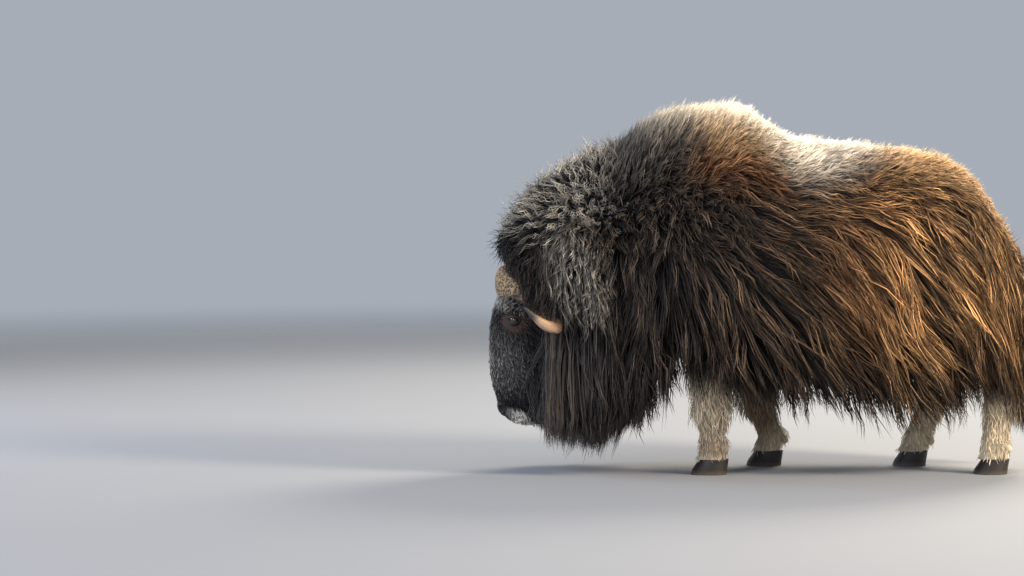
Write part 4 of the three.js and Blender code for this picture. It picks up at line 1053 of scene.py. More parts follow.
def surface_normals(place, a, b, inside):
    """Outward normals of place(a, b) by central differences, turned away from the points inside."""
    step = 0.002
    one = place(a + step, b) - place(a - step, b)
    two = place(a, b + step) - place(a, b - step)
    normals = unit(np.cross(one, two))
    points = place(a, b)
    away = np.sum(normals * (points - inside(points)), -1, keepdims=True)
    return points, normals * np.where(away < 0, -1, 1)


# Materials

def start_material(name, roughness, **sockets):
    """A material with a Principled shader and the given plain values on its sockets."""
    material = bpy.data.materials.new(name)
    material.use_nodes = True
    tree = material.node_tree
    shader = tree.nodes["Principled BSDF"]
    shader.inputs["Roughness"].default_value = roughness
    for socket, value in sockets.items():
        shader.inputs[socket.replace("_", " ")].default_value = value
    return material, tree, shader


def add(tree, kind, inputs=None, **options):
    """A node of the kind, with its options set and its inputs given a value or linked to a socket."""
    node = tree.nodes.new(kind)
    for option, value in options.items():
        setattr(node, option, value)
    for key, value in (inputs or {}).items():
        if isinstance(value, bpy.types.NodeSocket):
            tree.links.new(value, node.inputs[key])
        else:
            node.inputs[key].default_value = value
    return node


def new_group(name, inputs, outputs):
    """An empty node group with named sockets, and its two end nodes."""
    group = bpy.data.node_groups.new(name, "ShaderNodeTree")
    for socket, (kind, value) in inputs.items():
        made = group.interface.new_socket(socket, in_out="INPUT", socket_type=kind)
        if value is not None:
            made.default_value = value
    for socket, kind in outputs.items():
        group.interface.new_socket(socket, in_out="OUTPUT", socket_type=kind)
    return group, group.nodes.new("NodeGroupInput"), group.nodes.new("NodeGroupOutput")


def colour_of(node):
    """The colour that a mixing node gives."""
    return next(socket for socket in node.outputs if socket.type == "RGBA" and socket.enabled)


def hair_grain_group():
    """Fine streaks along hair: a noise that is stretched along the strand lightens and darkens the colour,
    raises the surface and roughens it."""
    name = "Hair grain"
    if name in bpy.data.node_groups:
        return bpy.data.node_groups[name]
    group, start, end = new_group(name, {
        "Colour": ("NodeSocketColor", None), "Place": ("NodeSocketVector", None),
        "Contrast": ("NodeSocketFloat", 0.35), "Dullness": ("NodeSocketFloat", 0.6),
    }, {"Colour": "NodeSocketColor", "Height": "NodeSocketFloat", "Roughness": "NodeSocketFloat"})
    noise = add(group, "ShaderNodeTexNoise", {"Vector": start.outputs["Place"], "Scale": 1.0, "Detail": 3.0,
                                              "Roughness": 0.6})
    centred = add(group, "ShaderNodeMath", {0: noise.outputs["Fac"], 1: 0.5}, operation="SUBTRACT")
    scaled = add(group, "ShaderNodeMath", {0: centred.outputs[0], 1: start.outputs["Contrast"], 2: 1.0},
                 operation="MULTIPLY_ADD")
    tinted = add(group, "ShaderNodeVectorMath", {0: start.outputs["Colour"], 1: scaled.outputs[0]},
                 operation="MULTIPLY")
    rough = add(group, "ShaderNodeMath", {0: centred.outputs[0], 1: 0.35, 2: start.outputs["Dullness"]},
                operation="MULTIPLY_ADD")
    group.links.new(tinted.outputs[0], end.inputs["Colour"])
    group.links.new(noise.outputs["Fac"], end.inputs["Height"])
    group.links.new(rough.outputs[0], end.inputs["Roughness"])
    return group


def pitted_group():
    """Horn and hoof: long fibres and small pits, by two noises, that darken and sink the surface."""
    name = "Pitted horn"
    if name in bpy.data.node_groups:
        return bpy.data.node_groups[name]
    group, start, end = new_group(name, {
        "Colour": ("NodeSocketColor", None), "Pit colour": ("NodeSocketColor", None),
        "Place": ("NodeSocketVector", None), "Wear": ("NodeSocketFloat", 0.5),
    }, {"Colour": "NodeSocketColor", "Height": "NodeSocketFloat", "Roughness": "NodeSocketFloat"})
    fibre = add(group, "ShaderNodeTexNoise", {"Vector": start.outputs["Place"], "Scale": 1.0, "Detail": 4.0,
                                              "Roughness": 0.65})
    pits = add(group, "ShaderNodeTexVoronoi", {"Vector": start.outputs["Place"], "Scale": 1.7})
    depth = add(group, "ShaderNodeMapRange", {"Value": pits.outputs["Distance"], "From Min": 0.1,
                                              "From Max": 0.5})
    both = add(group, "ShaderNodeMath", {0: fibre.outputs["Fac"], 1: depth.outputs[0]}, operation="MULTIPLY")
    rough = add(group, "ShaderNodeMapRange", {"Value": both.outputs[0], "From Min": 0.19, "From Max": 0.6,
                                              "To Min": 1.0, "To Max": 0.0})
    share = add(group, "ShaderNodeMath", {0: rough.outputs[0], 1: start.outputs["Wear"]},
                operation="MULTIPLY", use_clamp=True)
    blend = add(group, "ShaderNodeMix", {"Factor": share.outputs[0], "A": start.outputs["Colour"],
                                         "B": start.outputs["Pit colour"]}, data_type="RGBA")
    raised = add(group, "ShaderNodeMath", {0: 1.0, 1: share.outputs[0]}, operation="SUBTRACT")
    dull = add(group, "ShaderNodeMath", {0: start.outputs["Wear"], 1: 0.55, 2: 0.28},
               operation="MULTIPLY_ADD")
    group.links.new(colour_of(blend), end.inputs["Colour"])
    group.links.new(raised.outputs[0], end.inputs["Height"])
    group.links.new(dull.outputs[0], end.inputs["Roughness"])
    return group


def grained(tree, group, by_map, scale, **inputs):
    """A grain group on the colours of the piece's points, laid out by its map Grain or by place."""
    tinted = add(tree, "ShaderNodeAttribute", attribute_name="Tint")
    if by_map:
        where = add(tree, "ShaderNodeUVMap", uv_map="Grain").outputs["UV"]
    else:
        where = add(tree, "ShaderNodeTexCoord").outputs["Object"]
    spot = add(tree, "ShaderNodeMapping", {"Vector": where, "Scale": scale})
    inputs.update(Colour=tinted.outputs["Color"], Place=spot.outputs[0])
    return add(tree, "ShaderNodeGroup", inputs, node_tree=group)


def finish_surface(tree, shader, grain, bump, bump_size):
    """Takes colour, gloss and relief of the surface from a grain group."""
    raised = add(tree, "ShaderNodeBump", {"Strength": bump, "Distance": bump_size,
                                          "Height": grain.outputs["Height"]})
    tree.links.new(grain.outputs["Colour"], shader.inputs["Base Color"])
    tree.links.new(grain.outputs["Roughness"], shader.inputs["Roughness"])
    tree.links.new(raised.outputs[0], shader.inputs["Normal"])


def hair_material(name, contrast, dullness, by_map=True, scale=(1, 1, 1), bump=0.25, bump_size=0.0008):
    """Hair or haired skin, with streaks along its own map or by place."""
    material, tree, shader = start_material(name, dullness, Specular_IOR_Level=0.35)
    grain = grained(tree, hair_grain_group(), by_map, scale, Contrast=contrast, Dullness=dullness)
    finish_surface(tree, shader, grain, bump, bump_size)
    return material


def shared(name, make):
    """The material of that name, made on first use."""
    return bpy.data.materials.get(name) or make(name)


def coat_material():
    """Guard hair: strong streaks with a soft gloss."""
    return shared("Coat hair", lambda name: hair_material(name, 1.5, 0.52))


def short_material():
    """Short hair of the face, legs, ears and tail."""
    return shared("Short hair", lambda name: hair_material(name, 1.1, 0.62))


def skin_material():
    """Skin with very short hair, bare and wet on the nose."""
    return shared("Skin", lambda name: hair_material(name, 0.9, 0.6, False, (620, 620, 120), 0.35, 0.0012))


def hard_material(name, scale, wear, bump, bump_size):
    """Horn or hoof in the colours of its points, pitted along its own map by its attribute Wear."""
    material, tree, shader = start_material(name, 0.4)
    worn = add(tree, "ShaderNodeAttribute", attribute_name="Wear")
    scaled = add(tree, "ShaderNodeMath", {0: worn.outputs["Fac"], 1: wear}, operation="MULTIPLY")
    pitted = grained(tree, pitted_group(), True, scale, Wear=scaled.outputs[0])
    pitted.inputs["Pit colour"].default_value = (*shade("hard", "boss_pit"), 1)
    finish_surface(tree, shader, pitted, bump, bump_size)
    return material


def horn_material():
    """Weathered horn: deep pits and long fibres."""
    return shared("Horn", lambda name: hard_material(name, (4.4, 15, 1), 1.0, 0.9, 0.004))


def hoof_material():
    """Hoof wall: shallow fibres across the rings of growth."""
    return shared("Hoof", lambda name: hard_material(name, (5, 16, 1), 0.7, 0.5, 0.001))


def eye_material(name):
    """A wet, dark eye: the colours of its points under a clear gloss."""
    material, tree, shader = start_material(name, 0.12, Coat_Weight=1.0, Coat_Roughness=0.02)
    grain = grained(tree, hair_grain_group(), False, (900, 900, 900), Contrast=0.5, Dullness=0.12)
    tree.links.new(grain.outputs["Colour"], shader.inputs["Base Color"])
    return material


def floor_material(name):
    """A pale, matt studio floor with a faint mottle, which fades out into the surround."""
    material, tree, shader = start_material(name, 0.85)
    spot = add(tree, "ShaderNodeTexCoord")
    noise = add(tree, "ShaderNodeTexNoise", {"Vector": spot.outputs["Object"], "Scale": 3.0, "Detail": 4.0})
    tone = shade("stage", "floor")
    ramp = add(tree, "ShaderNodeMix", {"Factor": noise.outputs["Fac"], "A": (*(tone * 0.97), 1),
                                       "B": (*tone, 1)}, data_type="RGBA")
    tree.links.new(colour_of(ramp), shader.inputs["Base Color"])
    far = add(tree, "ShaderNodeVectorMath", {0: spot.outputs["Object"]}, operation="LENGTH")
    fade = add(tree, "ShaderNodeMapRange", {"Value": far.outputs["Value"], "From Min": 4.5, "From Max": 11.0,
                                            "To Min": 1.0, "To Max": 0.0}, interpolation_type="SMOOTHSTEP")
    tree.links.new(fade.outputs[0], shader.inputs["Alpha"])
    return material


def dress(piece, material, replaced=()):
    """Gives a piece its material and its place in the frame."""
    piece.data.materials.append(material)
    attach(piece, "root")
    if replaced:
        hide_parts(*replaced)
    return piece


# The nodes that the skin takes the place of.
FLESH = ["head", "neck", "torso", "tail", "ear_left", "ear_right"]
FLESH += [f"leg_{leg}_{part}" for leg in LEGS for part in ("upper", "lower")]


# Forms of the head beside its levels: middle, half sizes and pitch. First throat, upper lip, lower lip and
# nose pad, then those of the right side with their yaw too: the socket of the eye and the nostril's wing.
HEAD_FORMS = [
    ((-0.59, 0, 0.44), (0.168, 0.15, 0.172), 0), ((-0.846, 0, 0.203), (0.04, 0.061, 0.013), LIP_PITCH),
    ((-0.829, 0, 0.182), (0.04, 0.056, 0.013), LIP_PITCH),
    ((-0.894, 0, 0.218), (0.024, 0.05, 0.034), NOSE_PITCH),
]
SIDE_FORMS = [
    ((-0.852, 0.084, 0.531), (0.058, 0.033, 0.058), 0.25, 0),
    ((-0.892, 0.034, 0.218), (0.022, 0.017, 0.026), 0.5, NOSE_PITCH),
]


class MUSKOX_OT_skin(Operator):
    """Makes the skin: head, trunk, legs, ears and tail in one closed surface with lids, lips and nostrils"""

    bl_idname = "muskox.skin"
    bl_label = "Skin"

    def execute(self, context):
        part = lambda surface: set_mesh("Part", *surface)
        skin = set_mesh("skin", *trunk_surface())
        added = [part(head_surface()), part(tail_surface())]
        added += [part(ellipsoid(centre, halves, 0, pitch)) for centre, halves, pitch in HEAD_FORMS]
        cut = []
        for side in (LEFT, RIGHT):
            for (x, y, z), halves, yaw, pitch in SIDE_FORMS:
                added.append(part(ellipsoid((x, side * y, z), halves, side * yaw, pitch)))
            added += [part(eyelid_surface(side)), part(ear_surface(side))]
            nostril = ellipsoid(NOSTRIL * (1, side, 1), (0.016, 0.007, 0.015), side * 0.9, NOSE_PITCH)
            cut += [part(nostril), part(ellipsoid(eye_centre(side), (EYE_RADIUS + EYE_GAP,) * 3))]
        for place in LEGS.values():
            added.append(part(leg_surface(place)))
            height, shift, length, _ = place["rows"][2]
            for turn in (-1, 1):
                y = place["side"] * place["y"] + turn * 0.019
                centre = (place["x"] + shift + length - 0.004, y, height - 0.014)
                added.append(part(ellipsoid(centre, (0.014, 0.012, 0.017), 0, -0.5, (16, 10))))
        boolean(skin, added, "UNION")
        boolean(skin, cut, "DIFFERENCE")
        skin.data.polygons.foreach_set("use_smooth", np.ones(len(skin.data.polygons), bool))
        add_tints(skin.data, body_tint(mesh_points(skin.data)))
        skin.data.materials.clear()
        dress(skin, skin_material(), FLESH)
        return {"FINISHED"}


EYEBALL_TONE = colour("1a100b")
PUPIL_HALVES = (0.0075, 0.004)


class MUSKOX_OT_eyes(Operator):
    """Makes both eyes: wet balls with a dark iris and a long pupil"""

    bl_idname = "muskox.eyes"
    bl_label = "Eyes"

    def execute(self, context):
        for word, side in SIDES:
            axis = eye_axis(side)
            length = unit(np.cross(DOWN, axis))
            height = np.cross(axis, length)
            h, a = np.meshgrid(np.linspace(0.03, math.pi - 0.03, 48), circle(64), indexing="ij")
            bulge = 1 + 0.05 * np.exp(-(h / 0.5) ** 2)
            radius = EYE_RADIUS * 0.985 * bulge
            local = [radius * np.sin(h) * np.cos(a), radius * np.sin(h) * np.sin(a), radius * np.cos(h)]
            rings = sum(part[..., None] * way for part, way in zip(local, (length, height, axis)))
            points, faces = closed_tube(rings + eye_centre(side))
            spot = points - eye_centre(side)
            wide, tall, front = spot @ length, spot @ height, spot @ axis
            in_pupil = np.hypot(wide / PUPIL_HALVES[0], tall / PUPIL_HALVES[1])
            pupil = (1 - smooth(0.8, 1.15, in_pupil)) * (front > 0)
            iris = (1 - smooth(0.0118, 0.0138, np.hypot(wide, tall))) * (front > 0)
            tints = over(EYEBALL_TONE * np.ones((len(points), 1)), shade("hard", "iris"), iris)
            ball = set_mesh(f"eyeball_{word}", points, faces, over(tints, shade("hard", "pupil"), pupil))
            dress(ball, shared("Eye", eye_material), [f"eye_{word}"])
        return {"FINISHED"}


def along_path(path, t):
    """Places on a smooth line through the path's points, by the rounded spline whose steps go with the
    square root of the distance between points."""
    points = np.array(path, float)
    points = np.concatenate([[2 * points[0] - points[1]], points, [2 * points[-1] - points[-2]]])
    place = np.clip(t, 0, 1) * (len(path) - 1)
    i = np.minimum(place.astype(int), len(path) - 2)
    w = (place - i)[:, None]
    p0, p1, p2, p3 = (points[i + n] for n in range(4))
    d0, d1, d2 = (np.linalg.norm(gap, axis=-1, keepdims=True) ** 0.5 for gap in (p1 - p0, p2 - p1, p3 - p2))
    m1 = ((p1 - p0) / d0 - (p2 - p0) / (d0 + d1) + (p2 - p1) / d1) * d1
    m2 = ((p2 - p1) / d1 - (p3 - p1) / (d1 + d2) + (p3 - p2) / d2) * d1
    return (p1 * (2 * w ** 3 - 3 * w ** 2 + 1) + m1 * (w ** 3 - 2 * w ** 2 + w)
            + p2 * (3 * w ** 2 - 2 * w ** 3) + m2 * (w ** 3 - w ** 2))


class MUSKOX_OT_horns(Operator):
    """Makes both horns: a broad, rough boss that narrows down behind the eye and hooks up to a point"""

    bl_idname = "muskox.horns"
    bl_label = "Horns"

    def execute(self, context):
        steps, sides = 170, 64
        for word, side in SIDES:
            draw = Draw(f"horn_{word}")
            t = np.linspace(0, 0.995, steps)
            path = [(x, side * y, z) for x, y, z in HORN_PATH]
            centre = along_path(path, t)
            tangent = unit(np.gradient(centre, axis=0))
            tangent[0] = (0, side, 0)
            thick_axis = unit(np.cross(tangent, -DOWN))
            broad_axis = unit(np.cross(thick_axis, tangent))
            angle = circle(sides)[None]
            rough = (1 - smooth(0.28, 0.5, t))[:, None]
            lines = sum(np.sin(angle * n + draw.share(1) * 6.28 + t[:, None] * draw.vary(1, 9)) / n ** 0.5
                        for n in (5, 8, 13, 21, 31))
            furrow = 1 + rough * 0.016 * lines - 0.02 * rough * smooth(0, 0.03, 0.03 - t[:, None])
            broad = horn_broad(t)[:, None] * power(np.cos(angle), 0.85) * furrow
            thick = horn_thick(t)[:, None] * power(np.sin(angle), 0.85) * furrow
            rings = centre[:, None] + broad[..., None] * broad_axis[:, None]
            rings = rings + thick[..., None] * thick_axis[:, None]
            points, faces = closed_tube(rings)
            along = np.append(np.repeat(t, sides), [0, 1.0])
            turn = np.append(np.tile(angle[0] / (2 * math.pi), steps), [0, 0])
            outer = np.append(np.tile((1 - np.cos(angle[0])) / 2, steps), [0, 0])
            tints = over(plain("hard", "horn", outer), shade("hard", "horn_pale"), outer * 0.8)
            tints = over(tints, shade("hard", "boss"), 1 - smooth(0.38, 0.62, along))
            tints = over(tints, shade("hard", "horn_tip"), smooth(0.82, 0.9, along))
            wear = mix(0.12, 1.0, 1 - smooth(0.32, 0.58, along))
            grain = np.stack([turn * 6, along * 3.2], -1)
            horn = set_mesh(f"horn_sheath_{word}", points, faces, tints, {"Grain": grain}, {"Wear": wear})
            dress(horn, horn_material(), [f"horn_{word}"])
        return {"FINISHED"}


class MUSKOX_OT_hooves(Operator):
    """Makes the eight hoof halves: rounded wedges, straight along the cleft, ringed and worn at the rim"""

    bl_idname = "muskox.hooves"
    bl_label = "Hooves"

    def execute(self, context):
        rises = np.array([0, 0, 0.04, 0.1, 0.18, 0.27, 0.36, 0.46, 0.56, 0.66, 0.76, 0.86, 0.94, 1.0])
        sides = 30
        for leg, place in LEGS.items():
            for word, turn in (("inner", -place["side"]), ("outer", place["side"])):
                rise = rises[:, None]
                slope = smooth(0.0, 1.2, rise) * 1.15
                angle = np.linspace(0, math.pi, sides)[None]
                ringed = 1 + 0.01 * np.sin(rise * 34) * smooth(0.1, 0.3, rise)
                narrow = (1 - 0.16 * slope) * ringed
                narrow = narrow * np.where(np.arange(len(rises)) == 0, 0.93, 1)[:, None]
                shift = HOOF_SLOPE * slope + place["rows"][0][1] * 0.4 * slope - 0.008
                along = -np.cos(angle) * place["hoof"] / 2 * narrow + shift
                across = HOOF_CLEFT / 2 + HOOF_WIDTH * np.abs(np.sin(angle)) ** 0.8 * narrow
                height = HOOF_HEIGHT * rise + 0 * angle
                y = place["side"] * place["y"] + turn * across
                rings = np.stack([place["x"] + along, y, height], -1)
                points, faces = closed_tube(rings)
                high = np.append(np.repeat(rises, sides), [0, 1.0])
                worn = (1 - smooth(0.02, 0.35, high)) * 0.7
                tints = over(plain("hard", "hoof", high), shade("hard", "hoof_worn"), worn)
                around = np.append(np.tile(angle[0], len(rises)), [0, 0])
                grain = np.stack([around * 1.6, high * 0.9], -1)
                hoof = set_mesh(f"hoof_wall_{leg}_{word}", points, faces, tints, {"Grain": grain},
                                {"Wear": mix(0.35, 0.9, 1 - high)})
                dress(hoof, hoof_material(), [f"hoof_{leg}_{word}"])
        return {"FINISHED"}


class MUSKOX_OT_back(Operator):
    """Grows the short, fluffy hair of nape, hump, saddle and rump top"""

    bl_idname = "muskox.back"
    bl_label = "Hair of the back"

    def execute(self, context):
        fluff = dict(rings=3, per_clump=2, pull=0.4, wave=0.004, waves=1.0, deep=(0.6, 1.2), clump=0.008,
                     rise=1.1, width=settings().sizes.down, jitter=24, gleam=0.7, root_light=0.72,
                     uneven=(0.1, 0.22), wisp=0.4)
        for name, window, count in (
            ("coat_nape", ((-0.57, -0.22), (0, 0.41)), 4500),
            ("coat_hump", ((-0.23, 0.15), (0, 0.34)), 4800), ("coat_saddle", ((0.05, 0.5), (0, 0.32)), 4200),
            ("coat_rump_top", ((0.42, 0.86), (0, 0.3)), 4000),
        ):
            dress(grow_coat(name, window, count, **fluff), coat_material())
        return {"FINISHED"}


class MUSKOX_OT_flanks(Operator):
    """Grows the long hair of both flanks, from the whorl on the shoulder to the rump"""

    bl_idname = "muskox.flanks"
    bl_label = "Flanks"

    def execute(self, context):
        for word, side in SIDES:
            upper = grow_coat(f"coat_flank_{word}", ((-0.47, 0.88), (0.27, 0.6)), 4800, 5, sides=(side,))
            dress(upper, coat_material())
            places = sown(210, 0.3)
            x, v = mix(-0.46, -0.06, places[:, 0]), mix(0.35, 0.52, places[:, 1])
            points = coat_point(x, v, 0.15, side)
            along, fall = coat_slopes(x, v, side)
            flow = np.array([0.6, 0, -1.0]) + Draw("shoulder").bell(points.shape, 0.5)
            tone = coat_tint(x, v)
            uv = np.stack([x, 0.5 + side * v / 2], -1)
            normals = unit(np.cross(along, fall)) * side
            tips = mix(tone * 1.3, shade("coat", "sheen_dark"), 0.4)
            whorl = grow_tufts(f"coat_shoulder_{word}", points, normals, flow, 0.1 + 0 * x, uv, tone, tips,
                               lift=48, jitter=0.5, rings=4, per_clump=3, clump=0.014, crimp=0.005,
                               crimps=1.5, width=settings().sizes.down, root_light=0.5)
            dress(whorl, coat_material())
            lower = grow_coat(f"coat_fringe_{word}", ((-0.47, 0.9), (0.54, 0.9)), 3000, 4, sides=(side,),
                              deep=(0.3, 1.0), ragged=0.05, pull=0.35, clump=0.013, per_clump=4)
            dress(lower, coat_material())
        return {"FINISHED"}


class MUSKOX_OT_rump(Operator):
    """Grows the long hair that falls over the rump behind"""

    bl_idname = "muskox.rump"
    bl_label = "Rump"

    def execute(self, context):
        rump = grow_coat("coat_rump", ((0.79, 0.945), (0, 0.88)), 2400, 5, wave=0.006, ragged=0.05,
                         reach=1.1, root_light=0.36)
        dress(rump, coat_material())
        places = sown(230, 0.7)
        y, z = mix(-0.17, 0.17, places[:, 0]), mix(0.56, 0.8, places[:, 1])
        x = rear_edge(z) - 0.004 - 2.4 * y * y
        own = coat_tint(0 * x + 0.86, 0 * x + 0.5) * 1.15
        rear = hang("coat_rear", np.stack([x, y, z], -1), unit(np.stack([0 * x + 1, 2 * y, 0 * x], -1)),
                    0.14 + 0.45 * (0.17 - np.abs(y)), own, rings=5, bow=0.032, lean=(0.012, 0.012),
                    per_clump=5, jitter=0.008, sheen=shade("coat", "sheen_gold") * 0.8)
        dress(rear, coat_material())
        return {"FINISHED"}


def blended(upper, lower, hem):
    """A colour for places above that hem: upper(x, v) on the nape and lower(x, z) on the neck's side."""

    def tone(x, v):
        z = coat_point(x, np.minimum(v, 1), 0.9, LEFT, hem)[..., 2]
        return over(upper(x, v), lower(x, z), smooth(0.3, 0.42, v))

    return tone


class MUSKOX_OT_neck(Operator):
    """Grows the neck's sides and the curtain that falls from them nearly to the ground"""

    bl_idname = "muskox.neck"
    bl_label = "Neck"

    def execute(self, context):
        for word, side in SIDES:
            neck = grow_coat(f"coat_neck_{word}", ((-0.71, -0.38), (0.4, 0.9)), 2300, 5, sides=(side,),
                             deep=(0.25, 0.96), tone=blended(coat_tint, neck_tint, belly_hem),
                             sheen=blended(sheen_tint, neck_sheen, belly_hem))
            dress(neck, coat_material())
        return {"FINISHED"}


def hang(name, roots, out, hems, tone, sheen=None, rings=4, per_clump=7, bow=0.03, lean=(0, 0),
         jitter=0.016):
    """A piece of hair that hangs from its roots to a hem, bowed a little outwards, in gathered locks."""
    draw, sizes = Draw(name), settings().sizes
    count, k = len(roots), per_clump
    share = np.linspace(0, 1, rings + 1)[None, None, :, None]
    drop = (roots[:, 2] - hems)[:, None, None, None] * (1 - 0.09 * draw.share((count, k, 1, 1)))
    bowed = bow * np.sin(np.minimum(share * 1.35, 1) * math.pi) * (1 + draw.vary((count, 1, 1, 1), 0.4))
    drift_x = lean[0] + draw.bell(count, jitter)
    drift_y = lean[1] * np.sign(roots[:, 1]) + draw.bell(count, jitter)
    drift = np.stack([drift_x, drift_y, 0 * hems], -1)
    turn, far = draw.share((count, k)) * 2 * math.pi, np.sqrt(draw.share((count, k))) * sizes.clump
    offset = np.stack([far * np.cos(turn), far * np.sin(turn), 0 * far], -1)[:, :, None]
    phase = draw.share((count, 1, 1, 1)) + draw.vary((count, k, 1, 1), 0.2)
    sway = 0.011 * share * np.sin(2 * math.pi * (share * 1.25 + phase))
    sideways = unit(np.cross(out, DOWN))
    paths = (roots[:, None, None] + DOWN * drop * share + out[:, None, None] * bowed
             + drift[:, None, None] * share + offset * (1 - 0.5 * smooth(0, 1, share))
             + sideways[:, None, None] * sway)
    paths[..., 2] = np.maximum(paths[..., 2], 0.03)
    whole = np.broadcast_to(out[:, None, None], paths.shape)
    glow = (1 + draw.bell((count, 1), 0.28)) * (1 + draw.bell((count, k), 0.14))
    own = tone[:, None] * glow[..., None]
    lit = 0.25 + 0.6 * draw.share((count, k)) ** 3
    lit_tone = shade("coat", "sheen_dark") if sheen is None else sheen
    ends = over(own * 1.7, lit_tone, lit)
    widths = sizes.strand * 0.85 * (1 + draw.vary((count, k), 0.35))
    places = roots[:, None, :2] + offset[:, :, 0, :2] * 0.5
    return tuft_piece(name, paths, whole, widths, places, own * 0.8, ends)


class MUSKOX_OT_beard(Operator):
    """Hangs the hair of cheeks, jaw and throat, and fills the curtain under the neck and belly"""

    bl_idname = "muskox.beard"
    bl_label = "Beard and belly"

    def execute(self, context):
        places = sown(340)
        x, y = mix(-0.735, -0.42, places[:, 0]), mix(-0.27, 0.27, places[:, 1])
        z = 0.4 + 0.1 * np.abs(y) / 0.27
        out = unit(np.stack([-0.5 * (1 - smooth(-0.74, -0.6, x)), y * 6, 0 * x], -1) + (1e-3, 0, 0))
        tone = neck_tint(x, 0 * x + 0.3)
        beard = hang("coat_beard", np.stack([x, y, z], -1), out, belly_hem(x) + 0.02 * np.abs(y) / 0.27,
                     tone * 1.7)
        dress(beard, coat_material())
        places = sown(400, 0.2)
        z, turn = mix(0.3, 0.66, places[:, 0]), mix(0.06, 0.235, places[:, 1])
        turn = np.where(np.arange(len(z)) % 2 == 0, turn, 1 - turn)
        roots, normals = surface_normals(head_point, turn, z, head_inside)
        hems = mix(0.13, 0.34, smooth(0.4, 0.66, z)) + 0.7 * np.maximum(-0.76 - roots[:, 0], 0)
        tone = neck_tint(roots[:, 0] + 0.02, roots[:, 2])
        out = unit(normals * (1, 1, 0) + (0, 0, 1e-3))
        cheek = hang("coat_cheek", roots - normals * 0.004, out, hems, tone * 1.35, bow=0.045,
                     lean=(0.012, 0.02), per_clump=6, sheen=shade("face", "grey") * 1.15)
        dress(cheek, coat_material())
        places = sown(270, 0.4)
        x = mix(-0.38, 0.84, places[:, 0])
        y = mix(-0.26, 0.26, places[:, 1]) * mix(1, 0.62, smooth(0.6, 0.84, x))
        z = core_bottom(x) + 0.02 + 0.16 * (np.abs(y) / 0.3) ** 2
        hem = belly_hem(x) + 0.1 * (1 - (y / 0.28) ** 2) + 0.015
        tone = coat_tint(x, 0 * x + 1) * 0.8
        belly = hang("coat_belly", np.stack([x, y, z], -1), np.stack([0 * x, np.sign(y), 0 * x], -1), hem,
                     tone, bow=0.01, lean=(0.05, 0.02), per_clump=6)
        dress(belly, coat_material())
        return {"FINISHED"}


ROSETTE = (-0.62, 0.4)  # where the bonnet's hair parts to every side, in x and v


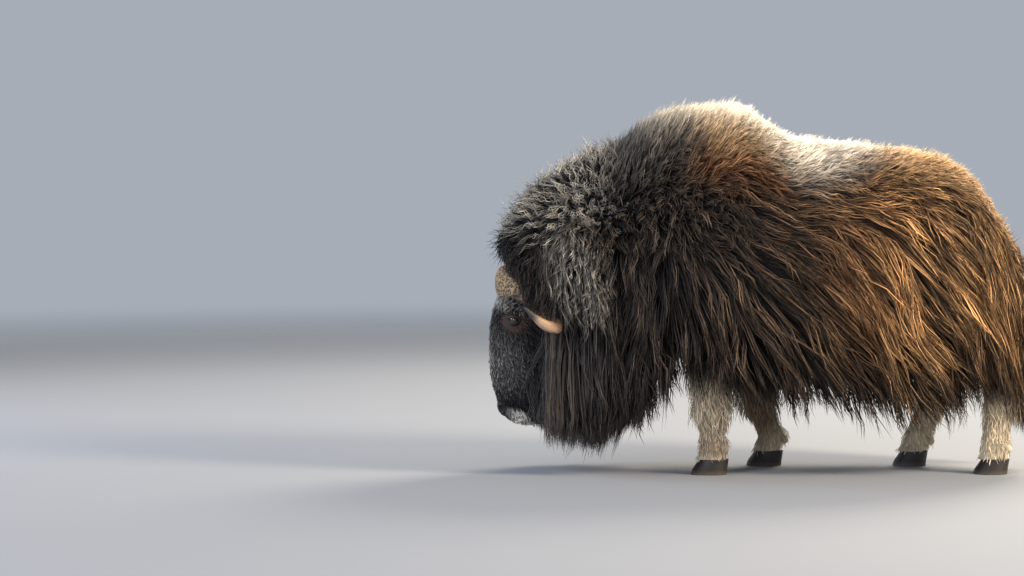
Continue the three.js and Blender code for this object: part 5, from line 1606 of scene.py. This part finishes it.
class MUSKOX_OT_bonnet(Operator):
    """Grows the crimped mane that falls over the horns, and the hair beside it over the temples"""

    bl_idname = "muskox.bonnet"
    bl_label = "Bonnet"

    def execute(self, context):
        share = settings().sizes.share
        gathered = []
        for side in (LEFT, RIGHT):
            x, v = coat_roots(int(370 * share), ((-0.884, -0.49), (0.0, 0.66)), side, temple_hem, 0.27)
            keep = v < mix(0.66, 0.5, smooth(-0.84, -0.72, x))
            whorl = spread(int(60 * share) + 1, 0.4) * 2 - 1
            x = np.concatenate([x[keep], ROSETTE[0] + 0.085 * whorl[:, 0]])
            v = np.concatenate([v[keep], ROSETTE[1] + 0.11 * whorl[:, 1]])
            gathered.append((x, v, np.full(len(x), side)))
        x, v, side = (np.concatenate(parts) for parts in zip(*gathered))
        points = coat_point(x, v, 0.15, side, temple_hem)
        along, fall = coat_slopes(x, v, side, temple_hem)
        normals = unit(np.cross(along, fall)) * side[:, None]
        rosette = coat_point(0 * x + ROSETTE[0], 0 * v + ROSETTE[1], 0.15, side, temple_hem)
        away = points - rosette
        far = np.linalg.norm(away, axis=1)
        tumble = Draw("rosette").bell(points.shape, 1.0) * (1 - smooth(0.04, 0.14, far))[:, None]
        flow = unit(away) * smooth(-0.02, 0.1, far)[:, None] + np.array([-0.35, 0, 0]) + tumble
        behind = smooth(-0.6, -0.5, x)
        lengths = mix(0.075, 0.115, smooth(0.05, 0.18, far)) * mix(1, 0.75, behind)
        lengths = lengths * mix(0.6, 1, smooth(-0.88, -0.78, x))
        middle_x, middle_z = (points + unit(flow) * lengths[:, None] * 0.5)[:, (0, 2)].T
        front = (1 - smooth(-0.825, -0.78, middle_x)) * (1 - smooth(0.815, 0.865, middle_z))
        flow = flow + np.array([0.0, 0, -0.8]) * front[:, None]
        lengths = lengths * mix(1, 1.55, front)
        tone = over(plain("coat", "black", x) * 0.75, shade("coat", "grey"), (1 - front) * 0.6)
        tips = over(tone * 1.1, shade("coat", "frost"), (1 - front) ** 2 * mix(1, 0.4, behind))
        uv = np.stack([x, 0.5 + side * v / 2], -1)
        bonnet = grow_tufts("coat_bonnet", points, normals, flow, lengths, uv, tone, tips, rings=6,
                            per_clump=5, width=0.0028, edge=bonnet_edge, lift=42, clump=0.014, pull=0.62,
                            crimp=0.0065, crimps=2.6, jitter=0.26, root_light=0.37, curl=0.5, droop=0.08,
                            pale_from=(0.25, 0.75), light_vary=0.25, fuzz=0.05)
        dress(bonnet, coat_material())
        height = lambda a, b: coat_point(a, np.minimum(b, 1), 0.9, LEFT, temple_hem)[..., 2]
        for word, side in SIDES:
            mane = grow_coat(
                f"coat_side_mane_{word}", ((-0.885, -0.53), (0.42, 0.78)), 2400, 4, sides=(side,),
                per_clump=3, clump=0.009, width=settings().sizes.fine, hem=temple_hem,
                lie=lambda a, b: 98 + 0 * a,
                length=lambda a, b: mix(0.21, 0.09, smooth(-0.75, -0.66, a)) + 0 * b,
                tone=lambda a, b: neck_tint(a, height(a, b)),
                sheen=lambda a, b: neck_sheen(a, height(a, b)),
                deep=(0.86, 1.1), rise=2.4, ragged=0.05, jitter=13, pull=0.4, wave=0.006, waves=1.6,
                gleam=1.4,
            )
            dress(mane, coat_material())
        return {"FINISHED"}


class MUSKOX_OT_face(Operator):
    """Grows the hair of the face, short on the muzzle and fluffy over cheek and brow"""

    bl_idname = "muskox.face"
    bl_label = "Face"

    def execute(self, context):
        places = sown(5000, 0.6)
        z, turn = mix(0.168, 0.665, places[:, 0]), mix(0.14, 0.86, places[:, 1])
        points, normals = surface_normals(head_point, turn, z, head_inside)
        centre = eye_centre(RIGHT) * np.stack([0 * z + 1, np.sign(points[:, 1]), 0 * z + 1], -1)
        from_eye = points - centre
        far = np.linalg.norm(from_eye * (1, 0.6, 1.25), axis=1)
        mouth = mouth_height(points[:, 0])
        lips = (np.abs(points[:, 2] - mouth) < 0.0025) & (points[:, 0] < MOUTH_CORNER)
        keep = (far > 0.019) & (nose_mask(points) < 0.4) & ~lips
        held = (points, normals, from_eye, far, turn, z)
        points, normals, from_eye, far, turn, z = (values[keep] for values in held)
        flow = np.array([0.3, 0, -1.0]) + unit(from_eye) * (1 - smooth(0.03, 0.07, far))[:, None] * 2.2
        flow = flow + np.array([-0.6, 0, 0]) * smooth(0.56, 0.62, z)[:, None]
        back = smooth(-0.88, -0.8, points[:, 0])
        length = mix(0.016, 0.034, smooth(0.24, 0.4, z)) * mix(1, 1.9, back)
        length = length * mix(0.5, 1, smooth(0.02, 0.07, far))
        tone = face_tint(points)
        pale = patch(points[:, 0], z, (-0.885, 0.36), (0.1, 0.085), 0.7)
        crown = patch(points[:, 0], z, (-0.87, 0.6), (0.08, 0.035), 0.7)
        paler = np.clip(0.18 + 0.9 * pale + 0.7 * crown, 0, 1) * smooth(0.245, 0.275, z)
        tips = over(tone * 1.6, shade("face", "brow"), paler)
        mottle = np.sin(points[:, 0] * 90 + 2 * np.sin(z * 70)) * np.sin(z * 110 + 3 * points[:, 1] * 20)
        tone, tips = (tint_set * (1 + 0.22 * mottle)[:, None] for tint_set in (tone, tips))
        face = grow_tufts("coat_face", points, normals, flow, length, np.stack([turn, z], -1), tone, tips,
                          lift=30, jitter=0.45, light_vary=0.42, pale=0.85)
        dress(face, short_material())
        places = sown(330, 0.8)
        z, turn = mix(0.56, 0.618, places[:, 0]), mix(0.29, 0.47, places[:, 1])
        turn = np.where(np.arange(len(z)) % 2 == 0, turn, 1 - turn)
        points, normals = surface_normals(head_point, turn, z, head_inside)
        back = smooth(-0.92, -0.83, points[:, 0])
        flow = np.array([1.0, 0, 0.25]) + 0 * normals
        tone = mix(shade("face", "black"), shade("face", "brow"), (1 - back)[:, None] * 0.4)
        tips = mix(shade("face", "grey") * 0.6, shade("face", "brow"), (1 - back)[:, None])
        length = mix(0.03, 0.105, back)
        brow = grow_tufts("coat_brow", points, normals, flow, length, np.stack([turn, z], -1), tone, tips,
                          rings=4, per_clump=3, clump=0.007, lift=mix(12, 54, back)[:, None], jitter=0.3,
                          crimp=0.003, crimps=1.5, curl=0.3)
        dress(brow, short_material())
        return {"FINISHED"}


class MUSKOX_OT_stockings(Operator):
    """Grows the soft hair of the legs, longest behind the knee and hock and shortest over the hooves"""

    bl_idname = "muskox.stockings"
    bl_label = "Legs"

    def execute(self, context):
        gathered = []
        for index, place in enumerate(LEGS.values()):
            places = sown(1080, 0.1 + index * 0.2)
            z, turn = mix(0.054, 0.44, places[:, 0] ** 0.9), places[:, 1]
            points, normals = surface_normals(lambda a, b: leg_point(place, a, b), turn, z,
                                              lambda p: leg_middle(place, p[..., 2]))
            behind = smooth(-0.2, 0.9, np.cos(turn * 2 * math.pi))
            length = mix(0.04, 0.07, smooth(0.12, 0.3, z))
            length = length * (1 + behind * (0.4 + 0.9 * smooth(0.17, 0.33, z)))
            if place["x"] < 0.3:
                length = length + 0.045 * smooth(0.16, 0.28, z) * (1 - behind)
            length = np.where(z < 0.085, 0.027, length)
            gathered.append((points, normals, length, np.stack([(index + turn) / 4, z], -1)))
        points, normals, length, uv = (np.concatenate(parts) for parts in zip(*gathered))
        flow = np.array([0.12, 0, -1.0]) + 0 * points
        legs = grow_tufts("coat_legs", points, normals, flow, length, uv, leg_tint(points), lift=20,
                          jitter=0.34, light_vary=0.17, width=0.0033, root_light=0.85)
        dress(legs, short_material())
        return {"FINISHED"}


class MUSKOX_OT_ears_tail(Operator):
    """Grows the hair of the ears and the tail's tuft"""

    bl_idname = "muskox.ears_tail"
    bl_label = "Ears and tail"

    def execute(self, context):
        gathered = []
        for side in (LEFT, RIGHT):
            places = sown(520, 0.3)
            length, turn = mix(0.14, 0.96, places[:, 0]), places[:, 1]
            base, along, _, _ = ear_frame(side)
            points, normals = surface_normals(lambda a, b: ear_point(side, a, b), length, turn,
                                              lambda p: base + ((p - base) @ along)[:, None] * along)
            gathered.append((points, normals, along + 0 * points, 0 * length + 0.028,
                             np.stack([length, (turn + side) / 4 + 0.5], -1)))
        points, normals, flow, length, uv = (np.concatenate(parts) for parts in zip(*gathered))
        tone = plain("coat", "grey", length) * 0.8
        ears = grow_tufts("coat_ears", points, normals, flow, length, uv, tone, lift=18, jitter=0.2)
        dress(ears, short_material())
        places = sown(640)
        z, turn = mix(0.388, 0.55, places[:, 0]), places[:, 1]
        axis = lambda p: np.stack([tail_rows(p[..., 2])[0], 0 * p[..., 0], p[..., 2]], -1)
        points, normals = surface_normals(lambda a, b: tail_point(a * 2 * math.pi, b), turn, z, axis)
        tone, uv = plain("coat", "brown", z), np.stack([turn, z], -1)
        tail = grow_tufts("coat_tail", points, normals, DOWN + 0 * points, 0 * z + 0.075, uv, tone,
                          lift=6, jitter=0.12, width=0.005)
        dress(tail, coat_material())
        return {"FINISHED"}


class MUSKOX_OT_stage(Operator):
    """Sets the pale floor, the soft studio lights and the camera"""

    bl_idname = "muskox.stage"
    bl_label = "Stage"

    def execute(self, context):
        stage = settings().stage
        ring = circle(96)
        far = np.array([0.01, 4.0, 8.0, 12.0])[:, None]
        disc = np.stack([far * np.cos(ring), far * np.sin(ring), 0 * far + 0 * ring], -1)
        under = np.stack([disc[::-1][0], disc[::-1][0]])
        under[..., 2] -= 0.01
        points, faces = closed_tube(np.concatenate([disc, under[:1]]))
        floor = set_mesh("floor", points - (0, 0, ORIGIN[2]), faces)
        floor.data.materials.append(floor_material("Floor"))
        aim = np.array([stage.aim_x, 0, stage.aim_z]) + ORIGIN
        back = np.array([0, -math.cos(stage.height), math.sin(stage.height)])
        camera = bpy.data.cameras.new("camera")
        camera.sensor_width = 36.0
        camera.lens = 36.0 * stage.distance / stage.span
        camera.clip_end = 200
        eye = bpy.data.objects.new("camera", camera)
        eye.location = aim + back * stage.distance
        eye.rotation_euler = (math.pi / 2 - stage.height, 0, 0)
        context.scene.collection.objects.link(eye)
        context.scene.camera = eye
        world = bpy.data.worlds.new("surround")
        context.scene.world = world
        world.use_nodes = True
        sky = world.node_tree.nodes["Background"]
        sky.inputs["Color"].default_value = (*stage.sky, 1)
        sky.inputs["Strength"].default_value = 0.7
        lights = [
            ("key", (5.4, -3.0, 3.9), 2.2, 660, "ffecd2"), ("fill", (-5.0, -7.0, 3.0), 5.0, 250, "dfe8ff"),
            ("rim", (2.5, 4.5, 4.6), 2.8, 460, "fff0da"), ("nose", (-5.5, 1.5, 3.2), 3.0, 130, "eaf0ff"),
        ]
        for name, place, size, watts, tone in lights:
            light = bpy.data.lights.new(name, "AREA")
            light.shape, light.size, light.energy, light.color = "DISK", size, watts, colour(tone)
            lamp = bpy.data.objects.new(name, light)
            lamp.location = place
            away = np.array(place) - (0, 0, 0.7)
            tilt = math.acos(away[2] / np.linalg.norm(away))
            lamp.rotation_euler = (tilt, 0, math.atan2(away[0], -away[1]))
            context.scene.collection.objects.link(lamp)
        context.scene.view_settings.view_transform = "Standard"
        return {"FINISHED"}


class MuskoxSettings(PropertyGroup):
    coat: PointerProperty(type=MuskoxCoatColours, name="Coat", description="Colours of the coat")
    face: PointerProperty(type=MuskoxFaceColours, name="Face", description="Colours of the face")
    hard: PointerProperty(type=MuskoxHardColours, name="Horn and hoof",
                          description="Colours of the hard parts")
    sizes: PointerProperty(type=MuskoxCoatSizes, name="Tufts", description="Sizes and numbers of the tufts")
    stage: PointerProperty(type=MuskoxStage, name="Stage", description="Camera, floor and surround")


PIECES = (
    MUSKOX_OT_skin, MUSKOX_OT_eyes, MUSKOX_OT_horns, MUSKOX_OT_hooves, MUSKOX_OT_back, MUSKOX_OT_flanks,
    MUSKOX_OT_rump, MUSKOX_OT_neck, MUSKOX_OT_beard, MUSKOX_OT_bonnet, MUSKOX_OT_face, MUSKOX_OT_stockings,
    MUSKOX_OT_ears_tail, MUSKOX_OT_stage,
)


class MUSKOX_PT_panel(Panel):
    """Lists the pieces of the animal in the order in which they are made"""

    bl_idname = "MUSKOX_PT_panel"
    bl_label = "Muskox bull"
    bl_space_type = "VIEW_3D"
    bl_region_type = "UI"
    bl_category = "Muskox"

    def draw(self, context):
        for piece in PIECES:
            self.layout.operator(piece.bl_idname)
        for group in ("coat", "face", "hard", "sizes", "stage"):
            box = self.layout.box()
            held = getattr(context.scene.muskox, group)
            for name in held.__annotations__:
                box.prop(held, name)


GROUPS = (MuskoxCoatColours, MuskoxFaceColours, MuskoxHardColours, MuskoxCoatSizes, MuskoxStage,
          MuskoxSettings)
CLASSES = (*GROUPS, *PIECES, MUSKOX_PT_panel)


def register():
    """Registers the classes and hangs the settings on the scene."""
    for made in CLASSES:
        bpy.utils.register_class(made)
    bpy.types.Scene.muskox = PointerProperty(type=MuskoxSettings)


def unregister():
    """Takes the settings off the scene and the classes out, last first."""
    del bpy.types.Scene.muskox
    for made in reversed(CLASSES):
        bpy.utils.unregister_class(made)


def main():
    """Makes every piece in order."""
    register()
    for piece in PIECES:
        getattr(bpy.ops.muskox, piece.bl_idname.split(".")[1])()


if __name__ == "__main__":
    main()
